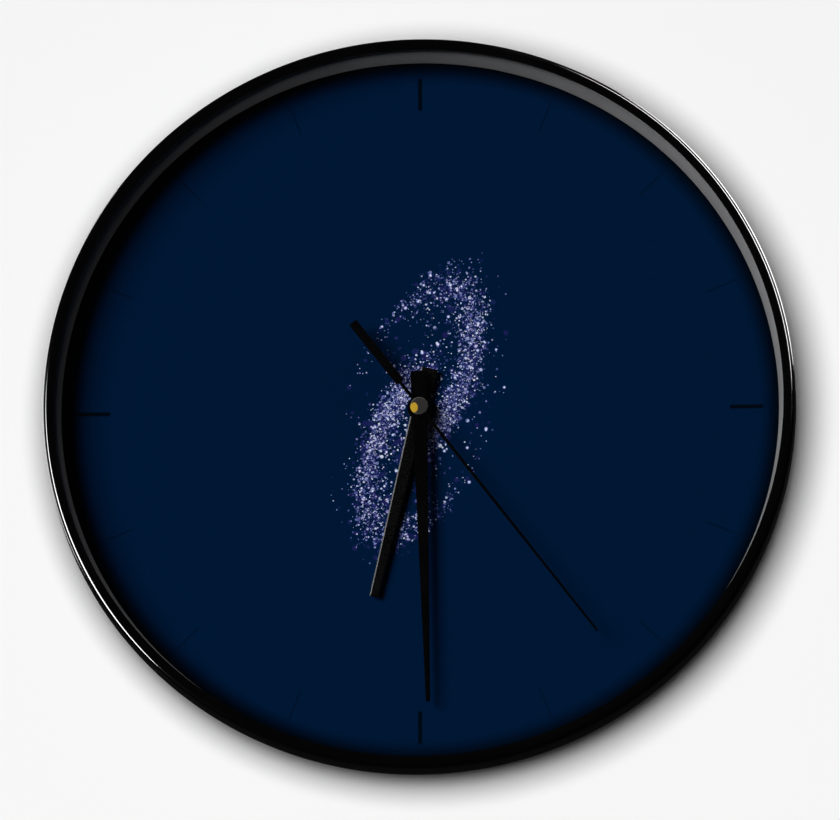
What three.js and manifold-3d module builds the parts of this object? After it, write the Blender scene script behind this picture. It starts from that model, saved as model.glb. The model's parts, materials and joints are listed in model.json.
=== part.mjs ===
// A round wall clock: a glossy bezel over a matte back case, a dial sunk under a flat lens, three hands,
// and the battery quartz movement that drives them.
//
// Millimetres, +z up. The hands turn about the y axis of the clock group, the wall is the plane y = 0 and
// the dial faces -y. A depth is a distance from the wall towards the front, so at depth d y is -d.
// The origin is where the nail bears on the hanger, straight above the hand axis.

import * as THREE from "three";
import { mergeVertices } from "three/addons/utils/BufferGeometryUtils.js";
import Module from "manifold-3d";

const wasm = await Module();
wasm.setup();

// Clearances.
const SEAT = 0.3; // between faces that rest on each other
const FIT = 0.3; // around a piece that drops into a pocket
const RUN = 0.1; // around a turning shaft
const PRESS = 0.05; // around a shaft pressed into a hand or knob
const LAP = 0.6; // how far joined solids run into each other

// Bezel, lens and inner ring.
const CASE_RADIUS = 150;
const BEZEL_HEIGHT = 13.2; // from its rear edge to the crest of the lip
const BEZEL_WALL = 2.4;
const BEZEL_EDGE = 0.8; // chamfer on its rear edge
const LIP_WIDTH = 4.6;
const LIP_THICKNESS = 1.8;
const CREST_RISE = 0.4; // crest above the lip's inner edge
const CREST_INSET = 1.9; // crest inside the outer wall
const SHOULDER_HEIGHT = 2.4; // the round from the outer wall up to the crest
const LENS_THICKNESS = 2;
const LIP_ABOVE_DIAL = 14;
const RING_SLOPE = 2.6; // how much narrower the inner ring is at the dial than at the lens

// Dial and back case.
const DIAL_THICKNESS = 1;
const FLOOR_THICKNESS = 2.2;
const SKIRT_WALL = 2.2;
const SKIRT_INSET = 7; // rear rim inside the bezel's outer wall
const SHOULDER_INSET = 1.4;
const SHOULDER_BAND = 2.7;
const COLLAR_WALL = 1.5;
const COLLAR_REACH = 4.3; // into the bezel
const BEAD_RISE = 0.6; // snap bead on the collar
const BEAD_HALF = 0.5;
const BEAD_OFFSET = 2.1; // from the bezel's rear edge
const RIB_COUNT = 8;
const RIB_WIDTH = 1.6;
const RIB_HEIGHT = 4;
const RIB_START = 48;
const RIB_GAP = 2.8; // between a rib's end and the skirt

// Hanger.
const HANG_HEIGHT = 98; // nail above the hand axis
const NAIL_SLOT = 4.4;
const NAIL_ENTRY = 10; // diameter of the hole the nail's head goes in by
const NAIL_DROP = 11; // from the entry's centre up to the slot's end
const HANGER_WIDTH = 46;
const HANGER_ABOVE = 6; // plate above the slot's end
const HANGER_BELOW = 20;
const HANGER_THICKNESS = 1.2;
const HANGER_STANDOFF = 2.2; // plate's rear face to the wall
const POST_SPACING = 34;
const POST_DROP = 8; // posts below the slot's end
const POST_RADIUS = 3.5;
const SCREW_RADIUS = 1.2;
const SCREW_LENGTH = 9;
const SCREW_HEAD_RADIUS = 2.8;
const SCREW_HEAD_HEIGHT = 1.6;
const SCREW_SLOT = 0.8;

// Movement case and battery.
const MOVEMENT_STANDOFF = 3; // rear face to the wall
const MOVEMENT_WALL = 1.5;
const MOVEMENT_TOP = 28; // above the hand axis
const WHEEL_ROOM = 10.2; // below the hand axis
const PARTITION = 1;
const COVER_HEIGHT = 8.2;
const HOOK_WIDTH = 8;
const HOOK_THICKNESS = 2;
const HOOK_LIP = 1.2;
const HOOK_REACH = 1.2;
const HOOK_SPACING = 28;
const BATTERY_DIAMETER = 14.5;
const BATTERY_LENGTH = 50.5;
const BATTERY_NUB = 1.3;
const BATTERY_NUB_RADIUS = 2.7;
const BATTERY_GAP = 0.5;
const CONTACT_ROOM = 1.25;
const CONTACT_THICKNESS = 0.4;
const CONTACT_SIZE = 9;
const SPRING_FOOT = 3.5; // radius of the spring at its strip
const SPRING_TIP = 1; // and at the battery

// Wheel train. Each wheel turns in a flat layer; layer 1 is the one nearest the dial. A wheel's angle is the
// direction to its axis from the axis before it, anticlockwise from the right, seen from the front.
const LAYER_COUNT = 6;
const LAYER_PITCH = 2;
const WHEEL_THICKNESS = 1.2;
const FRONT_ROOM = 0.6;
const REAR_ROOM = 1.7;
const ARBOR_RADIUS = 0.5;
const PIVOT_RADIUS = 0.35;
const PIVOT_LENGTH = 0.9;
const END_PLAY = 0.2;
const SECONDS_RADIUS = 0.5;
const MINUTE_RADIUS = 1.6;
const HOUR_RADIUS = 2.55;
const BUSH_RADIUS = 4;
const BUSH_GAP = 0.7; // between the bush and the hour hand
const ROTOR_TEETH = 6;
const INTERMEDIATE_TEETH = 36;
const INTERMEDIATE_LEAVES = 6;
const SECONDS_TEETH = 30;
const SECONDS_LEAVES = 6;
const THIRD_TEETH = 45;
const THIRD_LEAVES = 6;
const CENTRE_TEETH = 48;
const CANNON_LEAVES = 10;
const MOTION_TEETH = 30;
const MOTION_LEAVES = 8;
const HOUR_TEETH = 32;
const SETTING_LEAVES = 10;
const ROTOR_MODULE = 0.333;
const INTERMEDIATE_MODULE = 0.467;
const THIRD_MODULE = 0.333;
const MOTION_MODULE = 0.432;
const THIRD_ANGLE = 150;
const INTERMEDIATE_ANGLE = 60;
const ROTOR_ANGLE = 20;
const MOTION_ANGLE = -15;
const SETTING_ANGLE = 0;
const CANNON_FLANGE = 0.6; // wider than the tube
const CANNON_FLANGE_THICKNESS = 0.4;

// Teeth: how far a root and a tip lie from the pitch circle, in modules, and their half widths, in steps.
const PINION_MOST = 12; // leaves
const PINION_TOOTH = { root: 1.2, tip: 0.55, rootHalf: 0.2, tipHalf: 0.13 };
const WHEEL_TOOTH = { root: 1.05, tip: 0.75, rootHalf: 0.27, tipHalf: 0.1 };

// Motor and circuit.
const ROTOR_RADIUS = 3;
const ROTOR_HEIGHT = 2.2;
const POLE_GAP = 0.4;
const POLE_WIDTH = 1.8;
const STATOR_THICKNESS = 0.6;
const LEG_WIDTH = 4;
const COIL_RADIUS = 4.5;
const COIL_LENGTH = 18;
const COIL_CENTRE_X = 9.5;
const FLANGE_RISE = 0.3;
const FLANGE_THICKNESS = 0.9;
const BOBBIN_WALL = 0.9; // outside the core's half width
const CORE_WIDTH = 4;
const CORE_THICKNESS = 1;
const BOARD_WIDTH = 10;
const BOARD_HEIGHT = 30;
const BOARD_THICKNESS = 1;
const BOARD_RISE = 1.5; // above the cover
const BOARD_MARGIN = 2; // above the partition
const BOARD_POST_RADIUS = 1.2;
const BOARD_POST_INSET = 3;
const CRYSTAL_RADIUS = 1;
const CRYSTAL_LENGTH = 6;
const CRYSTAL_PLACE = 0.6; // up the board, as a share of its height
const CHIP_SIZE = 5;
const CHIP_THICKNESS = 1.2;
const CHIP_PLACE = 0.2;
const KNOB_RADIUS = 6;
const KNOB_THICKNESS = 1.5;
const KNOB_NOTCH = 0.4;
const SETTING_RADIUS = 1.5;

// Hands. Angles are clockwise from twelve, seen from the front.
const HAND_THICKNESS = 0.5;
const HOUR_GAP = 2; // hour hand above the dial
const HAND_PITCH = 2.2; // from one hand to the next
const EYE_RADIUS = 4.9;
const HOUR_HAND = { length: 79, tail: 17.2, tip: 3.5, base: 6.8, angle: 193.4 };
const MINUTE_HAND = { length: 120.6, tail: 15.2, tip: 1.75, base: 6.6, angle: 178.4 };
const SECOND_HAND = {
  length: 117, tip: 0.9, needle: 1.4, neck: 12.5, tail: 43.8, bar: 3.6, angle: 142.7,
};
const STEM_RADIUS = 1.2;
const CAP_RADIUS = 3.6;
const CAP_HEIGHT = 0.9;
const CAP_CHAMFER = 0.35;

// Facets.
const ROUND = 64;
const SMALL_ROUND = 24;
const TINY_ROUND = 12;
const SHOULDER_FACETS = 4;
const LIP_FACETS = 3;
const WELD = 1e-4; // vertices this near are one

// Depths, from the wall to the front.
const movementDepth =
  2 * MOVEMENT_WALL + FRONT_ROOM + (LAYER_COUNT - 1) * LAYER_PITCH + WHEEL_THICKNESS + REAR_ROOM;
const movementRear = MOVEMENT_STANDOFF;
const movementFront = movementRear + movementDepth;
const chamberRear = movementRear + MOVEMENT_WALL;
const chamberFront = movementFront - MOVEMENT_WALL;
const coverFront = movementRear + COVER_HEIGHT;
const baseRear = coverFront + SEAT;
const floorRear = movementFront + SEAT;
const floorFront = floorRear + FLOOR_THICKNESS;
const dialRear = floorFront + SEAT;
const dialFront = dialRear + DIAL_THICKNESS;
const ringRear = dialFront + SEAT;
const lipEdge = dialFront + LIP_ABOVE_DIAL;
const lipUnder = lipEdge - LIP_THICKNESS;
const lensFront = lipUnder - SEAT;
const lensRear = lensFront - LENS_THICKNESS;
const ringFront = lensRear - SEAT;
const crest = lipEdge + CREST_RISE;
const bezelRear = crest - BEZEL_HEIGHT;
const shoulderDepth = bezelRear - SEAT;
const collarFront = bezelRear + COLLAR_REACH;
const beadDepth = bezelRear + BEAD_OFFSET;
const hourHandRear = dialFront + HOUR_GAP;
const bushFront = hourHandRear - BUSH_GAP;
const minuteHandRear = hourHandRear + HAND_PITCH;
const secondHandRear = minuteHandRear + HAND_PITCH;
const capRear = secondHandRear + HAND_THICKNESS + PRESS;

// Radii and half widths.
const bezelBore = CASE_RADIUS - BEZEL_WALL;
const lipRadius = CASE_RADIUS - LIP_WIDTH;
const collarRadius = bezelBore - FIT;
const collarBore = collarRadius - COLLAR_WALL;
const lensRadius = bezelBore - FIT;
const dialRadius = collarBore - FIT;
const bushHole = BUSH_RADIUS + FIT;
const movementHalf = BATTERY_LENGTH / 2 + CONTACT_ROOM + MOVEMENT_WALL;
const chamberHalf = movementHalf - MOVEMENT_WALL;
const chamberTop = MOVEMENT_TOP - MOVEMENT_WALL;
const bayTop = -WHEEL_ROOM - PARTITION;
const bayBottom = bayTop - BATTERY_DIAMETER - 2 * BATTERY_GAP;
const movementBottom = bayBottom - MOVEMENT_WALL;

// Solids.

// Keeps only positions, merges shared vertices and drops triangles that have no area.
function weld(geometry) {
  const bare = new THREE.BufferGeometry();
  bare.setAttribute("position", geometry.getAttribute("position"));
  bare.setIndex(geometry.getIndex());
  const merged = mergeVertices(bare, WELD);
  const corners = merged.getIndex().array;
  const kept = [];
  for (let i = 0; i < corners.length; i += 3) {
    const [a, b, c] = corners.slice(i, i + 3);
    if (a !== b && b !== c && c !== a) {
      kept.push(a, b, c);
    }
  }
  merged.setIndex(kept);
  return merged;
}

function toSolid(geometry) {
  const welded = weld(geometry);
  const vertProperties = new Float32Array(welded.getAttribute("position").array);
  const triVerts = new Uint32Array(welded.getIndex().array);
  return new wasm.Manifold(new wasm.Mesh({ numProp: 3, vertProperties, triVerts }));
}

function toGeometry(solid) {
  const mesh = solid.getMesh();
  const geometry = new THREE.BufferGeometry();
  geometry.setAttribute("position", new THREE.BufferAttribute(mesh.vertProperties, 3));
  geometry.setIndex(new THREE.BufferAttribute(mesh.triVerts, 1));
  return geometry;
}

function join(...geometries) {
  const solids = geometries.map(toSolid);
  return toGeometry(solids.reduce((sum, solid) => sum.add(solid)));
}

function cut(geometry, ...tools) {
  const start = toSolid(geometry);
  return toGeometry(tools.map(toSolid).reduce((rest, tool) => rest.subtract(tool), start));
}

// Turns a closed profile of [radius, depth] points about the hand axis.
function spin(profile, sides) {
  const points = profile.map(([radius, depth]) => new THREE.Vector2(radius, -depth));
  points.push(points[0].clone());
  if (THREE.ShapeUtils.isClockWise(points)) {
    points.reverse();
  }
  return weld(new THREE.LatheGeometry(points, sides));
}

function tube(inner, outer, rear, front, sides) {
  return spin([[inner, rear], [outer, rear], [outer, front], [inner, front]], sides);
}

function drum(radius, rear, front, sides, x = 0, z = 0) {
  const geometry = new THREE.CylinderGeometry(radius, radius, front - rear, sides);
  return geometry.translate(x, -(rear + front) / 2, z);
}

function block(left, right, rear, front, bottom, top) {
  const geometry = new THREE.BoxGeometry(right - left, front - rear, top - bottom);
  return geometry.translate((left + right) / 2, -(rear + front) / 2, (bottom + top) / 2);
}

// Extrudes a shape drawn as seen from the front, with x to the right and y up.
function plate(shape, rear, front) {
  const geometry = new THREE.ExtrudeGeometry(shape, { depth: front - rear, bevelEnabled: false });
  return geometry.rotateX(Math.PI / 2).translate(0, -rear, 0);
}

function polygon(points) {
  return new THREE.Shape(points.map(([x, y]) => new THREE.Vector2(x, y)));
}

// Radius of a faceted hole whose flats clear a shaft by a gap.
function holeFor(shaft, gap, sides) {
  return (shaft + gap) / Math.cos(Math.PI / sides);
}

// Points of a quarter ellipse from (startRadius, startDepth) round to (endRadius, endDepth).
function quarterRound(startRadius, startDepth, endRadius, endDepth, steps) {
  const points = [];
  for (let i = 0; i <= steps; i += 1) {
    const angle = (i / steps) * (Math.PI / 2);
    points.push([
      endRadius + (startRadius - endRadius) * Math.cos(angle),
      startDepth + (endDepth - startDepth) * Math.sin(angle),
    ]);
  }
  return points;
}

// Gears.

function layer(number) {
  const front = chamberFront - FRONT_ROOM - (number - 1) * LAYER_PITCH;
  return { front, rear: front - WHEEL_THICKNESS };
}

function centreDistance(teethA, teethB, module) {
  return ((teethA + teethB) * module) / 2;
}

function away(from, distance, degrees) {
  const angle = THREE.MathUtils.degToRad(degrees);
  return { x: from.x + distance * Math.cos(angle), z: from.z + distance * Math.sin(angle), angle };
}

// Angle of a tooth on a gear that sets one of its gaps on its mate's tooth. The direction runs from the
// mate's axis to the gear's own.
function meshAngle(teeth, mateTeeth, mateAngle, direction) {
  const ahead = ((mateAngle - direction) * mateTeeth) / (2 * Math.PI);
  return direction + Math.PI + ((0.5 - ahead) * 2 * Math.PI) / teeth;
}

// Wheels have tapered teeth; pinions have short leaves with nearly radial flanks.
function gear(teeth, module, toothAngle, number) {
  const tooth = teeth <= PINION_MOST ? PINION_TOOTH : WHEEL_TOOTH;
  const pitchRadius = (teeth * module) / 2;
  const root = pitchRadius - tooth.root * module;
  const tip = pitchRadius + tooth.tip * module;
  const step = (2 * Math.PI) / teeth;
  const rootHalf = step * tooth.rootHalf;
  const tipHalf = step * tooth.tipHalf;
  const corners = [[root, -rootHalf], [tip, -tipHalf], [tip, tipHalf], [root, rootHalf]];
  const points = [];
  for (let i = 0; i < teeth; i += 1) {
    const middle = toothAngle + i * step;
    for (const [radius, offset] of corners) {
      points.push([radius * Math.cos(middle + offset), radius * Math.sin(middle + offset)]);
    }
  }
  const { rear, front } = layer(number);
  return plate(polygon(points), rear, front);
}

// An arbor with a pivot at each end, reaching into blind holes in the movement's two halves.
function arbor() {
  const rear = chamberRear + END_PLAY;
  const front = chamberFront - END_PLAY;
  return join(
    drum(ARBOR_RADIUS, rear, front, TINY_ROUND),
    drum(PIVOT_RADIUS, rear - PIVOT_LENGTH, front + PIVOT_LENGTH, TINY_ROUND),
  );
}

function pivotHole(axis, inner, outward) {
  const radius = holeFor(PIVOT_RADIUS, RUN, TINY_ROUND);
  const end = inner + outward * (PIVOT_LENGTH + RUN);
  const start = inner - outward * LAP;
  return drum(radius, Math.min(start, end), Math.max(start, end), TINY_ROUND, axis.x, axis.z);
}

const centre = { x: 0, z: 0 };
const thirdDistance = centreDistance(SECONDS_LEAVES, THIRD_TEETH, THIRD_MODULE);
const motionDistance = centreDistance(CANNON_LEAVES, MOTION_TEETH, MOTION_MODULE);
const intermediateDistance = centreDistance(INTERMEDIATE_LEAVES, SECONDS_TEETH, INTERMEDIATE_MODULE);
const rotorDistance = centreDistance(ROTOR_TEETH, INTERMEDIATE_TEETH, ROTOR_MODULE);
const settingDistance = centreDistance(MOTION_TEETH, SETTING_LEAVES, MOTION_MODULE);
const thirdAxis = away(centre, thirdDistance, THIRD_ANGLE);
const intermediateAxis = away(centre, intermediateDistance, INTERMEDIATE_ANGLE);
const rotorAxis = away(intermediateAxis, rotorDistance, ROTOR_ANGLE);
const motionAxis = away(centre, motionDistance, MOTION_ANGLE);
const settingAxis = away(motionAxis, settingDistance, SETTING_ANGLE);
const centreModule = (2 * thirdDistance) / (THIRD_LEAVES + CENTRE_TEETH);
const hourModule = (2 * motionDistance) / (MOTION_LEAVES + HOUR_TEETH);

// Case pieces.

function frontBezel() {
  const crestRadius = CASE_RADIUS - CREST_INSET;
  const grooveRadius = bezelBore + BEAD_RISE;
  const grooveHalf = BEAD_HALF + SEAT;
  return spin([
    [bezelBore, bezelRear],
    [CASE_RADIUS - BEZEL_EDGE, bezelRear],
    [CASE_RADIUS, bezelRear + BEZEL_EDGE],
    ...quarterRound(CASE_RADIUS, crest - SHOULDER_HEIGHT, crestRadius, crest, SHOULDER_FACETS),
    ...quarterRound(lipRadius, lipEdge, crestRadius, crest, LIP_FACETS).reverse().slice(1),
    [lipRadius, lipUnder],
    [bezelBore, lipUnder],
    [bezelBore, beadDepth + grooveHalf + BEAD_RISE],
    [grooveRadius, beadDepth + grooveHalf],
    [grooveRadius, beadDepth - grooveHalf],
    [bezelBore, beadDepth - grooveHalf - BEAD_RISE],
  ], ROUND);
}

function innerRing() {
  const step = collarFront + SEAT;
  return spin([
    [lipRadius - RING_SLOPE, ringRear],
    [dialRadius, ringRear],
    [dialRadius, step],
    [lensRadius, step],
    [lensRadius, ringFront],
    [lipRadius, ringFront],
  ], ROUND);
}

function backCaseShell() {
  const shoulder = CASE_RADIUS - SHOULDER_INSET;
  const rim = CASE_RADIUS - SKIRT_INSET;
  return spin([
    [rim - SKIRT_WALL, 0],
    [rim, 0],
    [shoulder, shoulderDepth - SHOULDER_BAND],
    [shoulder, shoulderDepth],
    [collarRadius, shoulderDepth],
    [collarRadius, beadDepth - BEAD_HALF - BEAD_RISE],
    [collarRadius + BEAD_RISE, beadDepth - BEAD_HALF],
    [collarRadius + BEAD_RISE, beadDepth + BEAD_HALF],
    [collarRadius, beadDepth + BEAD_HALF + BEAD_RISE],
    [collarRadius, collarFront],
    [collarBore, collarFront],
    [collarBore, floorFront],
    [bushHole, floorFront],
    [bushHole, floorRear],
    [shoulder - SKIRT_WALL, floorRear],
  ], ROUND);
}

function ribs() {
  const list = [];
  const end = CASE_RADIUS - SKIRT_INSET - SKIRT_WALL - RIB_GAP;
  const half = RIB_WIDTH / 2;
  for (let i = 0; i < RIB_COUNT; i += 1) {
    const rib = block(RIB_START, end, floorRear - RIB_HEIGHT, floorRear + LAP, -half, half);
    list.push(rib.rotateY(((i + 0.5) / RIB_COUNT) * 2 * Math.PI));
  }
  return list;
}

// Four hooks that hold the movement against the floor, two on each side.
function hooks() {
  const list = [];
  const inner = movementHalf + FIT;
  const end = movementRear - SEAT - HOOK_LIP;
  for (const middle of [-HOOK_SPACING / 2, HOOK_SPACING / 2]) {
    const bottom = middle - HOOK_WIDTH / 2;
    const top = middle + HOOK_WIDTH / 2;
    const post = block(inner, inner + HOOK_THICKNESS, end, floorRear + LAP, bottom, top);
    const lip = block(inner - FIT - HOOK_REACH, inner + LAP, end, end + HOOK_LIP, bottom, top);
    const hook = join(post, lip);
    list.push(hook, hook.clone().rotateY(Math.PI));
  }
  return list;
}

const hangerFront = HANGER_STANDOFF + HANGER_THICKNESS;
const postTop = HANG_HEIGHT - POST_DROP;
const postSides = [-POST_SPACING / 2, POST_SPACING / 2];

function backCase() {
  const postRear = hangerFront + SEAT;
  const holeRadius = holeFor(SCREW_RADIUS, PRESS, TINY_ROUND);
  const holeEnd = HANGER_STANDOFF + SCREW_LENGTH + SEAT;
  const posts = postSides.map(
    (x) => drum(POST_RADIUS, postRear, floorRear + LAP, SMALL_ROUND, x, postTop));
  const holes = postSides.map(
    (x) => drum(holeRadius, postRear - LAP, holeEnd, TINY_ROUND, x, postTop));
  return cut(join(backCaseShell(), ...ribs(), ...hooks(), ...posts), ...holes);
}

function hangerPlate() {
  const slot = NAIL_SLOT / 2;
  const entry = HANG_HEIGHT - NAIL_DROP;
  const top = HANG_HEIGHT - slot;
  const body = block(
    -HANGER_WIDTH / 2, HANGER_WIDTH / 2, HANGER_STANDOFF, hangerFront,
    HANG_HEIGHT - HANGER_BELOW, HANG_HEIGHT + HANGER_ABOVE);
  const rear = HANGER_STANDOFF - LAP;
  const front = hangerFront + LAP;
  const screwHole = holeFor(SCREW_RADIUS, FIT, TINY_ROUND);
  return cut(
    body,
    drum(NAIL_ENTRY / 2, rear, front, SMALL_ROUND, 0, entry),
    block(-slot, slot, rear, front, entry, top),
    drum(slot, rear, front, SMALL_ROUND, 0, top),
    ...postSides.map((x) => drum(screwHole, rear, front, TINY_ROUND, x, postTop)),
  );
}

function hangerScrew() {
  const seat = HANGER_STANDOFF - PRESS;
  const head = drum(SCREW_HEAD_RADIUS, seat - SCREW_HEAD_HEIGHT, seat, SMALL_ROUND);
  const shank = drum(SCREW_RADIUS, seat - LAP, seat + SCREW_LENGTH, TINY_ROUND);
  const slotEnd = seat - SCREW_HEAD_HEIGHT / 2;
  const slot = block(
    -CASE_RADIUS, CASE_RADIUS, seat - SCREW_HEAD_HEIGHT - LAP, slotEnd, -SCREW_SLOT / 2, SCREW_SLOT / 2);
  return cut(join(head, shank), slot);
}

// Movement pieces.

function movementBase() {
  const outer = block(-movementHalf, movementHalf, baseRear, movementFront, movementBottom, MOVEMENT_TOP);
  const chamber = block(-chamberHalf, chamberHalf, baseRear - LAP, chamberFront, -WHEEL_ROOM, chamberTop);
  const bay = block(-chamberHalf, chamberHalf, baseRear - LAP, chamberFront, bayBottom, bayTop);
  const bush = drum(BUSH_RADIUS, chamberFront, bushFront, SMALL_ROUND);
  const boreRadius = holeFor(HOUR_RADIUS, RUN, SMALL_ROUND);
  const bore = drum(boreRadius, chamberFront - LAP, bushFront + LAP, SMALL_ROUND);
  const pivots = [thirdAxis, intermediateAxis, rotorAxis, motionAxis, settingAxis];
  const holes = pivots.map((axis) => pivotHole(axis, chamberFront, 1));
  return cut(join(cut(outer, chamber, bay), bush), bore, ...holes);
}

const boardLeft = -chamberHalf + FIT;
const boardBottom = -WHEEL_ROOM + BOARD_MARGIN;
const boardRear = chamberRear + BOARD_RISE;
const boardFront = boardRear + BOARD_THICKNESS;
const boardMiddle = boardLeft + BOARD_WIDTH / 2;

function movementCover() {
  const outer = block(-movementHalf, movementHalf, movementRear, coverFront, movementBottom, MOVEMENT_TOP);
  const chamber = block(-chamberHalf, chamberHalf, chamberRear, coverFront + LAP, -WHEEL_ROOM, chamberTop);
  const bay = block(-chamberHalf, chamberHalf, movementRear - LAP, coverFront + LAP, bayBottom, bayTop);
  const settingHole = drum(
    holeFor(SETTING_RADIUS, RUN, SMALL_ROUND), movementRear - LAP, chamberRear + LAP, SMALL_ROUND,
    settingAxis.x, settingAxis.z);
  const pivots = [centre, thirdAxis, intermediateAxis, rotorAxis, motionAxis];
  const holes = pivots.map((axis) => pivotHole(axis, chamberRear, -1));
  const postHeights = [boardBottom + BOARD_POST_INSET, boardBottom + BOARD_HEIGHT - BOARD_POST_INSET];
  const posts = postHeights.map(
    (z) => drum(BOARD_POST_RADIUS, chamberRear - LAP, boardRear - SEAT, TINY_ROUND, boardMiddle, z));
  return cut(join(cut(outer, chamber, bay), ...posts), settingHole, ...holes);
}

const batteryRadius = BATTERY_DIAMETER / 2;
const batteryDepth = chamberFront - BATTERY_GAP - batteryRadius;
const batteryHeight = (bayTop + bayBottom) / 2;

// The battery lies along x with its positive nub to the right, seen from the front.
function battery() {
  const end = BATTERY_LENGTH / 2;
  const body = drum(batteryRadius, -end, end - BATTERY_NUB, SMALL_ROUND);
  const nub = drum(BATTERY_NUB_RADIUS, 0, end, SMALL_ROUND);
  return join(body, nub).rotateZ(Math.PI / 2).rotateX(Math.PI).translate(0, -batteryDepth, batteryHeight);
}

// A contact is a flat strip against the end wall; the negative one has a spring cone on it.
function contact(side) {
  const half = CONTACT_SIZE / 2;
  const wall = chamberHalf - FIT;
  const strip = block(
    wall - CONTACT_THICKNESS, wall, batteryDepth - half, batteryDepth + half,
    batteryHeight - half, batteryHeight + half);
  if (side > 0) {
    return strip;
  }
  const foot = wall - CONTACT_THICKNESS / 2;
  const tip = BATTERY_LENGTH / 2 + PRESS;
  const cone = new THREE.CylinderGeometry(SPRING_FOOT, SPRING_TIP, foot - tip, SMALL_ROUND);
  cone.rotateZ(-Math.PI / 2);
  cone.translate((foot + tip) / 2, -batteryDepth, batteryHeight);
  return join(strip, cone).rotateZ(Math.PI).translate(0, -2 * batteryDepth, 0);
}

const statorRear = layer(5).front + RUN;
const statorFront = statorRear + STATOR_THICKNESS;
const coilHeight = chamberTop - COIL_RADIUS - FLANGE_RISE - SEAT;
const coreRear = statorFront + END_PLAY;
const coilDepth = coreRear + CORE_THICKNESS / 2;
const coilEnd = COIL_LENGTH / 2 + FLANGE_THICKNESS;
const legInner = coilEnd + SEAT;
const legOuter = legInner + LEG_WIDTH;

// The stator runs from under one end of the core, round the rotor, to under the other end.
function stator() {
  const left = COIL_CENTRE_X - legOuter;
  const right = COIL_CENTRE_X + legOuter;
  const top = coilHeight + CORE_WIDTH / 2;
  const poleRadius = ROTOR_RADIUS + POLE_GAP + POLE_WIDTH;
  const leftFoot = coilHeight - COIL_RADIUS - FLANGE_RISE - SEAT - LEG_WIDTH;
  const rightFoot = rotorAxis.z - LEG_WIDTH / 2;
  const bar = (x0, x1, z0, z1) => block(x0, x1, statorRear, statorFront, z0, z1);
  const arms = join(
    bar(left, left + LEG_WIDTH, leftFoot, top),
    bar(left, rotorAxis.x, leftFoot, leftFoot + LEG_WIDTH),
    bar(right - LEG_WIDTH, right, rightFoot, top),
    bar(rotorAxis.x, right, rightFoot, rightFoot + LEG_WIDTH),
    drum(poleRadius, statorRear, statorFront, SMALL_ROUND, rotorAxis.x, rotorAxis.z),
  );
  const hole = drum(
    ROTOR_RADIUS + POLE_GAP, statorRear - LAP, statorFront + LAP, SMALL_ROUND, rotorAxis.x, rotorAxis.z);
  return cut(arms, hole);
}

function coilCore() {
  return block(
    COIL_CENTRE_X - legOuter, COIL_CENTRE_X + legOuter, coreRear, coreRear + CORE_THICKNESS,
    coilHeight - CORE_WIDTH / 2, coilHeight + CORE_WIDTH / 2);
}

// Round pieces of the coil are turned about x and then moved onto the core.
function ontoCoil(geometry) {
  return geometry.rotateZ(Math.PI / 2).translate(COIL_CENTRE_X, -coilDepth, coilHeight);
}

const bobbinRadius = CORE_WIDTH / 2 + BOBBIN_WALL;

function coilBobbin() {
  const flange = COIL_RADIUS + FLANGE_RISE;
  const half = COIL_LENGTH / 2;
  const reel = ontoCoil(join(
    drum(bobbinRadius, -coilEnd, coilEnd, SMALL_ROUND),
    drum(flange, -coilEnd, -half, SMALL_ROUND),
    drum(flange, half, coilEnd, SMALL_ROUND),
  ));
  const gap = RUN;
  const slot = block(
    COIL_CENTRE_X - legOuter, COIL_CENTRE_X + legOuter, coreRear - gap, coreRear + CORE_THICKNESS + gap,
    coilHeight - CORE_WIDTH / 2 - gap, coilHeight + CORE_WIDTH / 2 + gap);
  return cut(reel, slot);
}

function coilWinding() {
  const half = COIL_LENGTH / 2 - RUN;
  return ontoCoil(tube(holeFor(bobbinRadius, RUN, SMALL_ROUND), COIL_RADIUS, -half, half, SMALL_ROUND));
}

function circuitBoard() {
  return block(
    boardLeft, boardLeft + BOARD_WIDTH, boardRear, boardFront, boardBottom, boardBottom + BOARD_HEIGHT);
}

function quartzCrystal() {
  const can = new THREE.CylinderGeometry(CRYSTAL_RADIUS, CRYSTAL_RADIUS, CRYSTAL_LENGTH, SMALL_ROUND);
  const bottom = boardBottom + BOARD_HEIGHT * CRYSTAL_PLACE;
  return can.rotateX(Math.PI / 2).translate(
    boardMiddle, -(boardFront + PRESS + CRYSTAL_RADIUS), bottom + CRYSTAL_LENGTH / 2);
}

function driverChip() {
  const rear = boardFront + PRESS;
  const bottom = boardBottom + BOARD_HEIGHT * CHIP_PLACE;
  const left = boardMiddle - CHIP_SIZE / 2;
  return block(left, left + CHIP_SIZE, rear, rear + CHIP_THICKNESS, bottom, bottom + CHIP_SIZE);
}

// Wheels, each turned about its own axis and set in mesh with the one before it.

const secondsPhase = meshAngle(SECONDS_TEETH, INTERMEDIATE_LEAVES, 0, intermediateAxis.angle + Math.PI);
const rotorPhase = meshAngle(ROTOR_TEETH, INTERMEDIATE_TEETH, 0, rotorAxis.angle);
const thirdPhase = meshAngle(THIRD_TEETH, SECONDS_LEAVES, 0, thirdAxis.angle);
const centrePhase = meshAngle(CENTRE_TEETH, THIRD_LEAVES, 0, thirdAxis.angle + Math.PI);
const motionPhase = meshAngle(MOTION_TEETH, CANNON_LEAVES, 0, motionAxis.angle);
const hourPhase = meshAngle(HOUR_TEETH, MOTION_LEAVES, 0, motionAxis.angle + Math.PI);
const settingPhase = meshAngle(SETTING_LEAVES, MOTION_TEETH, motionPhase, settingAxis.angle);

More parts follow.
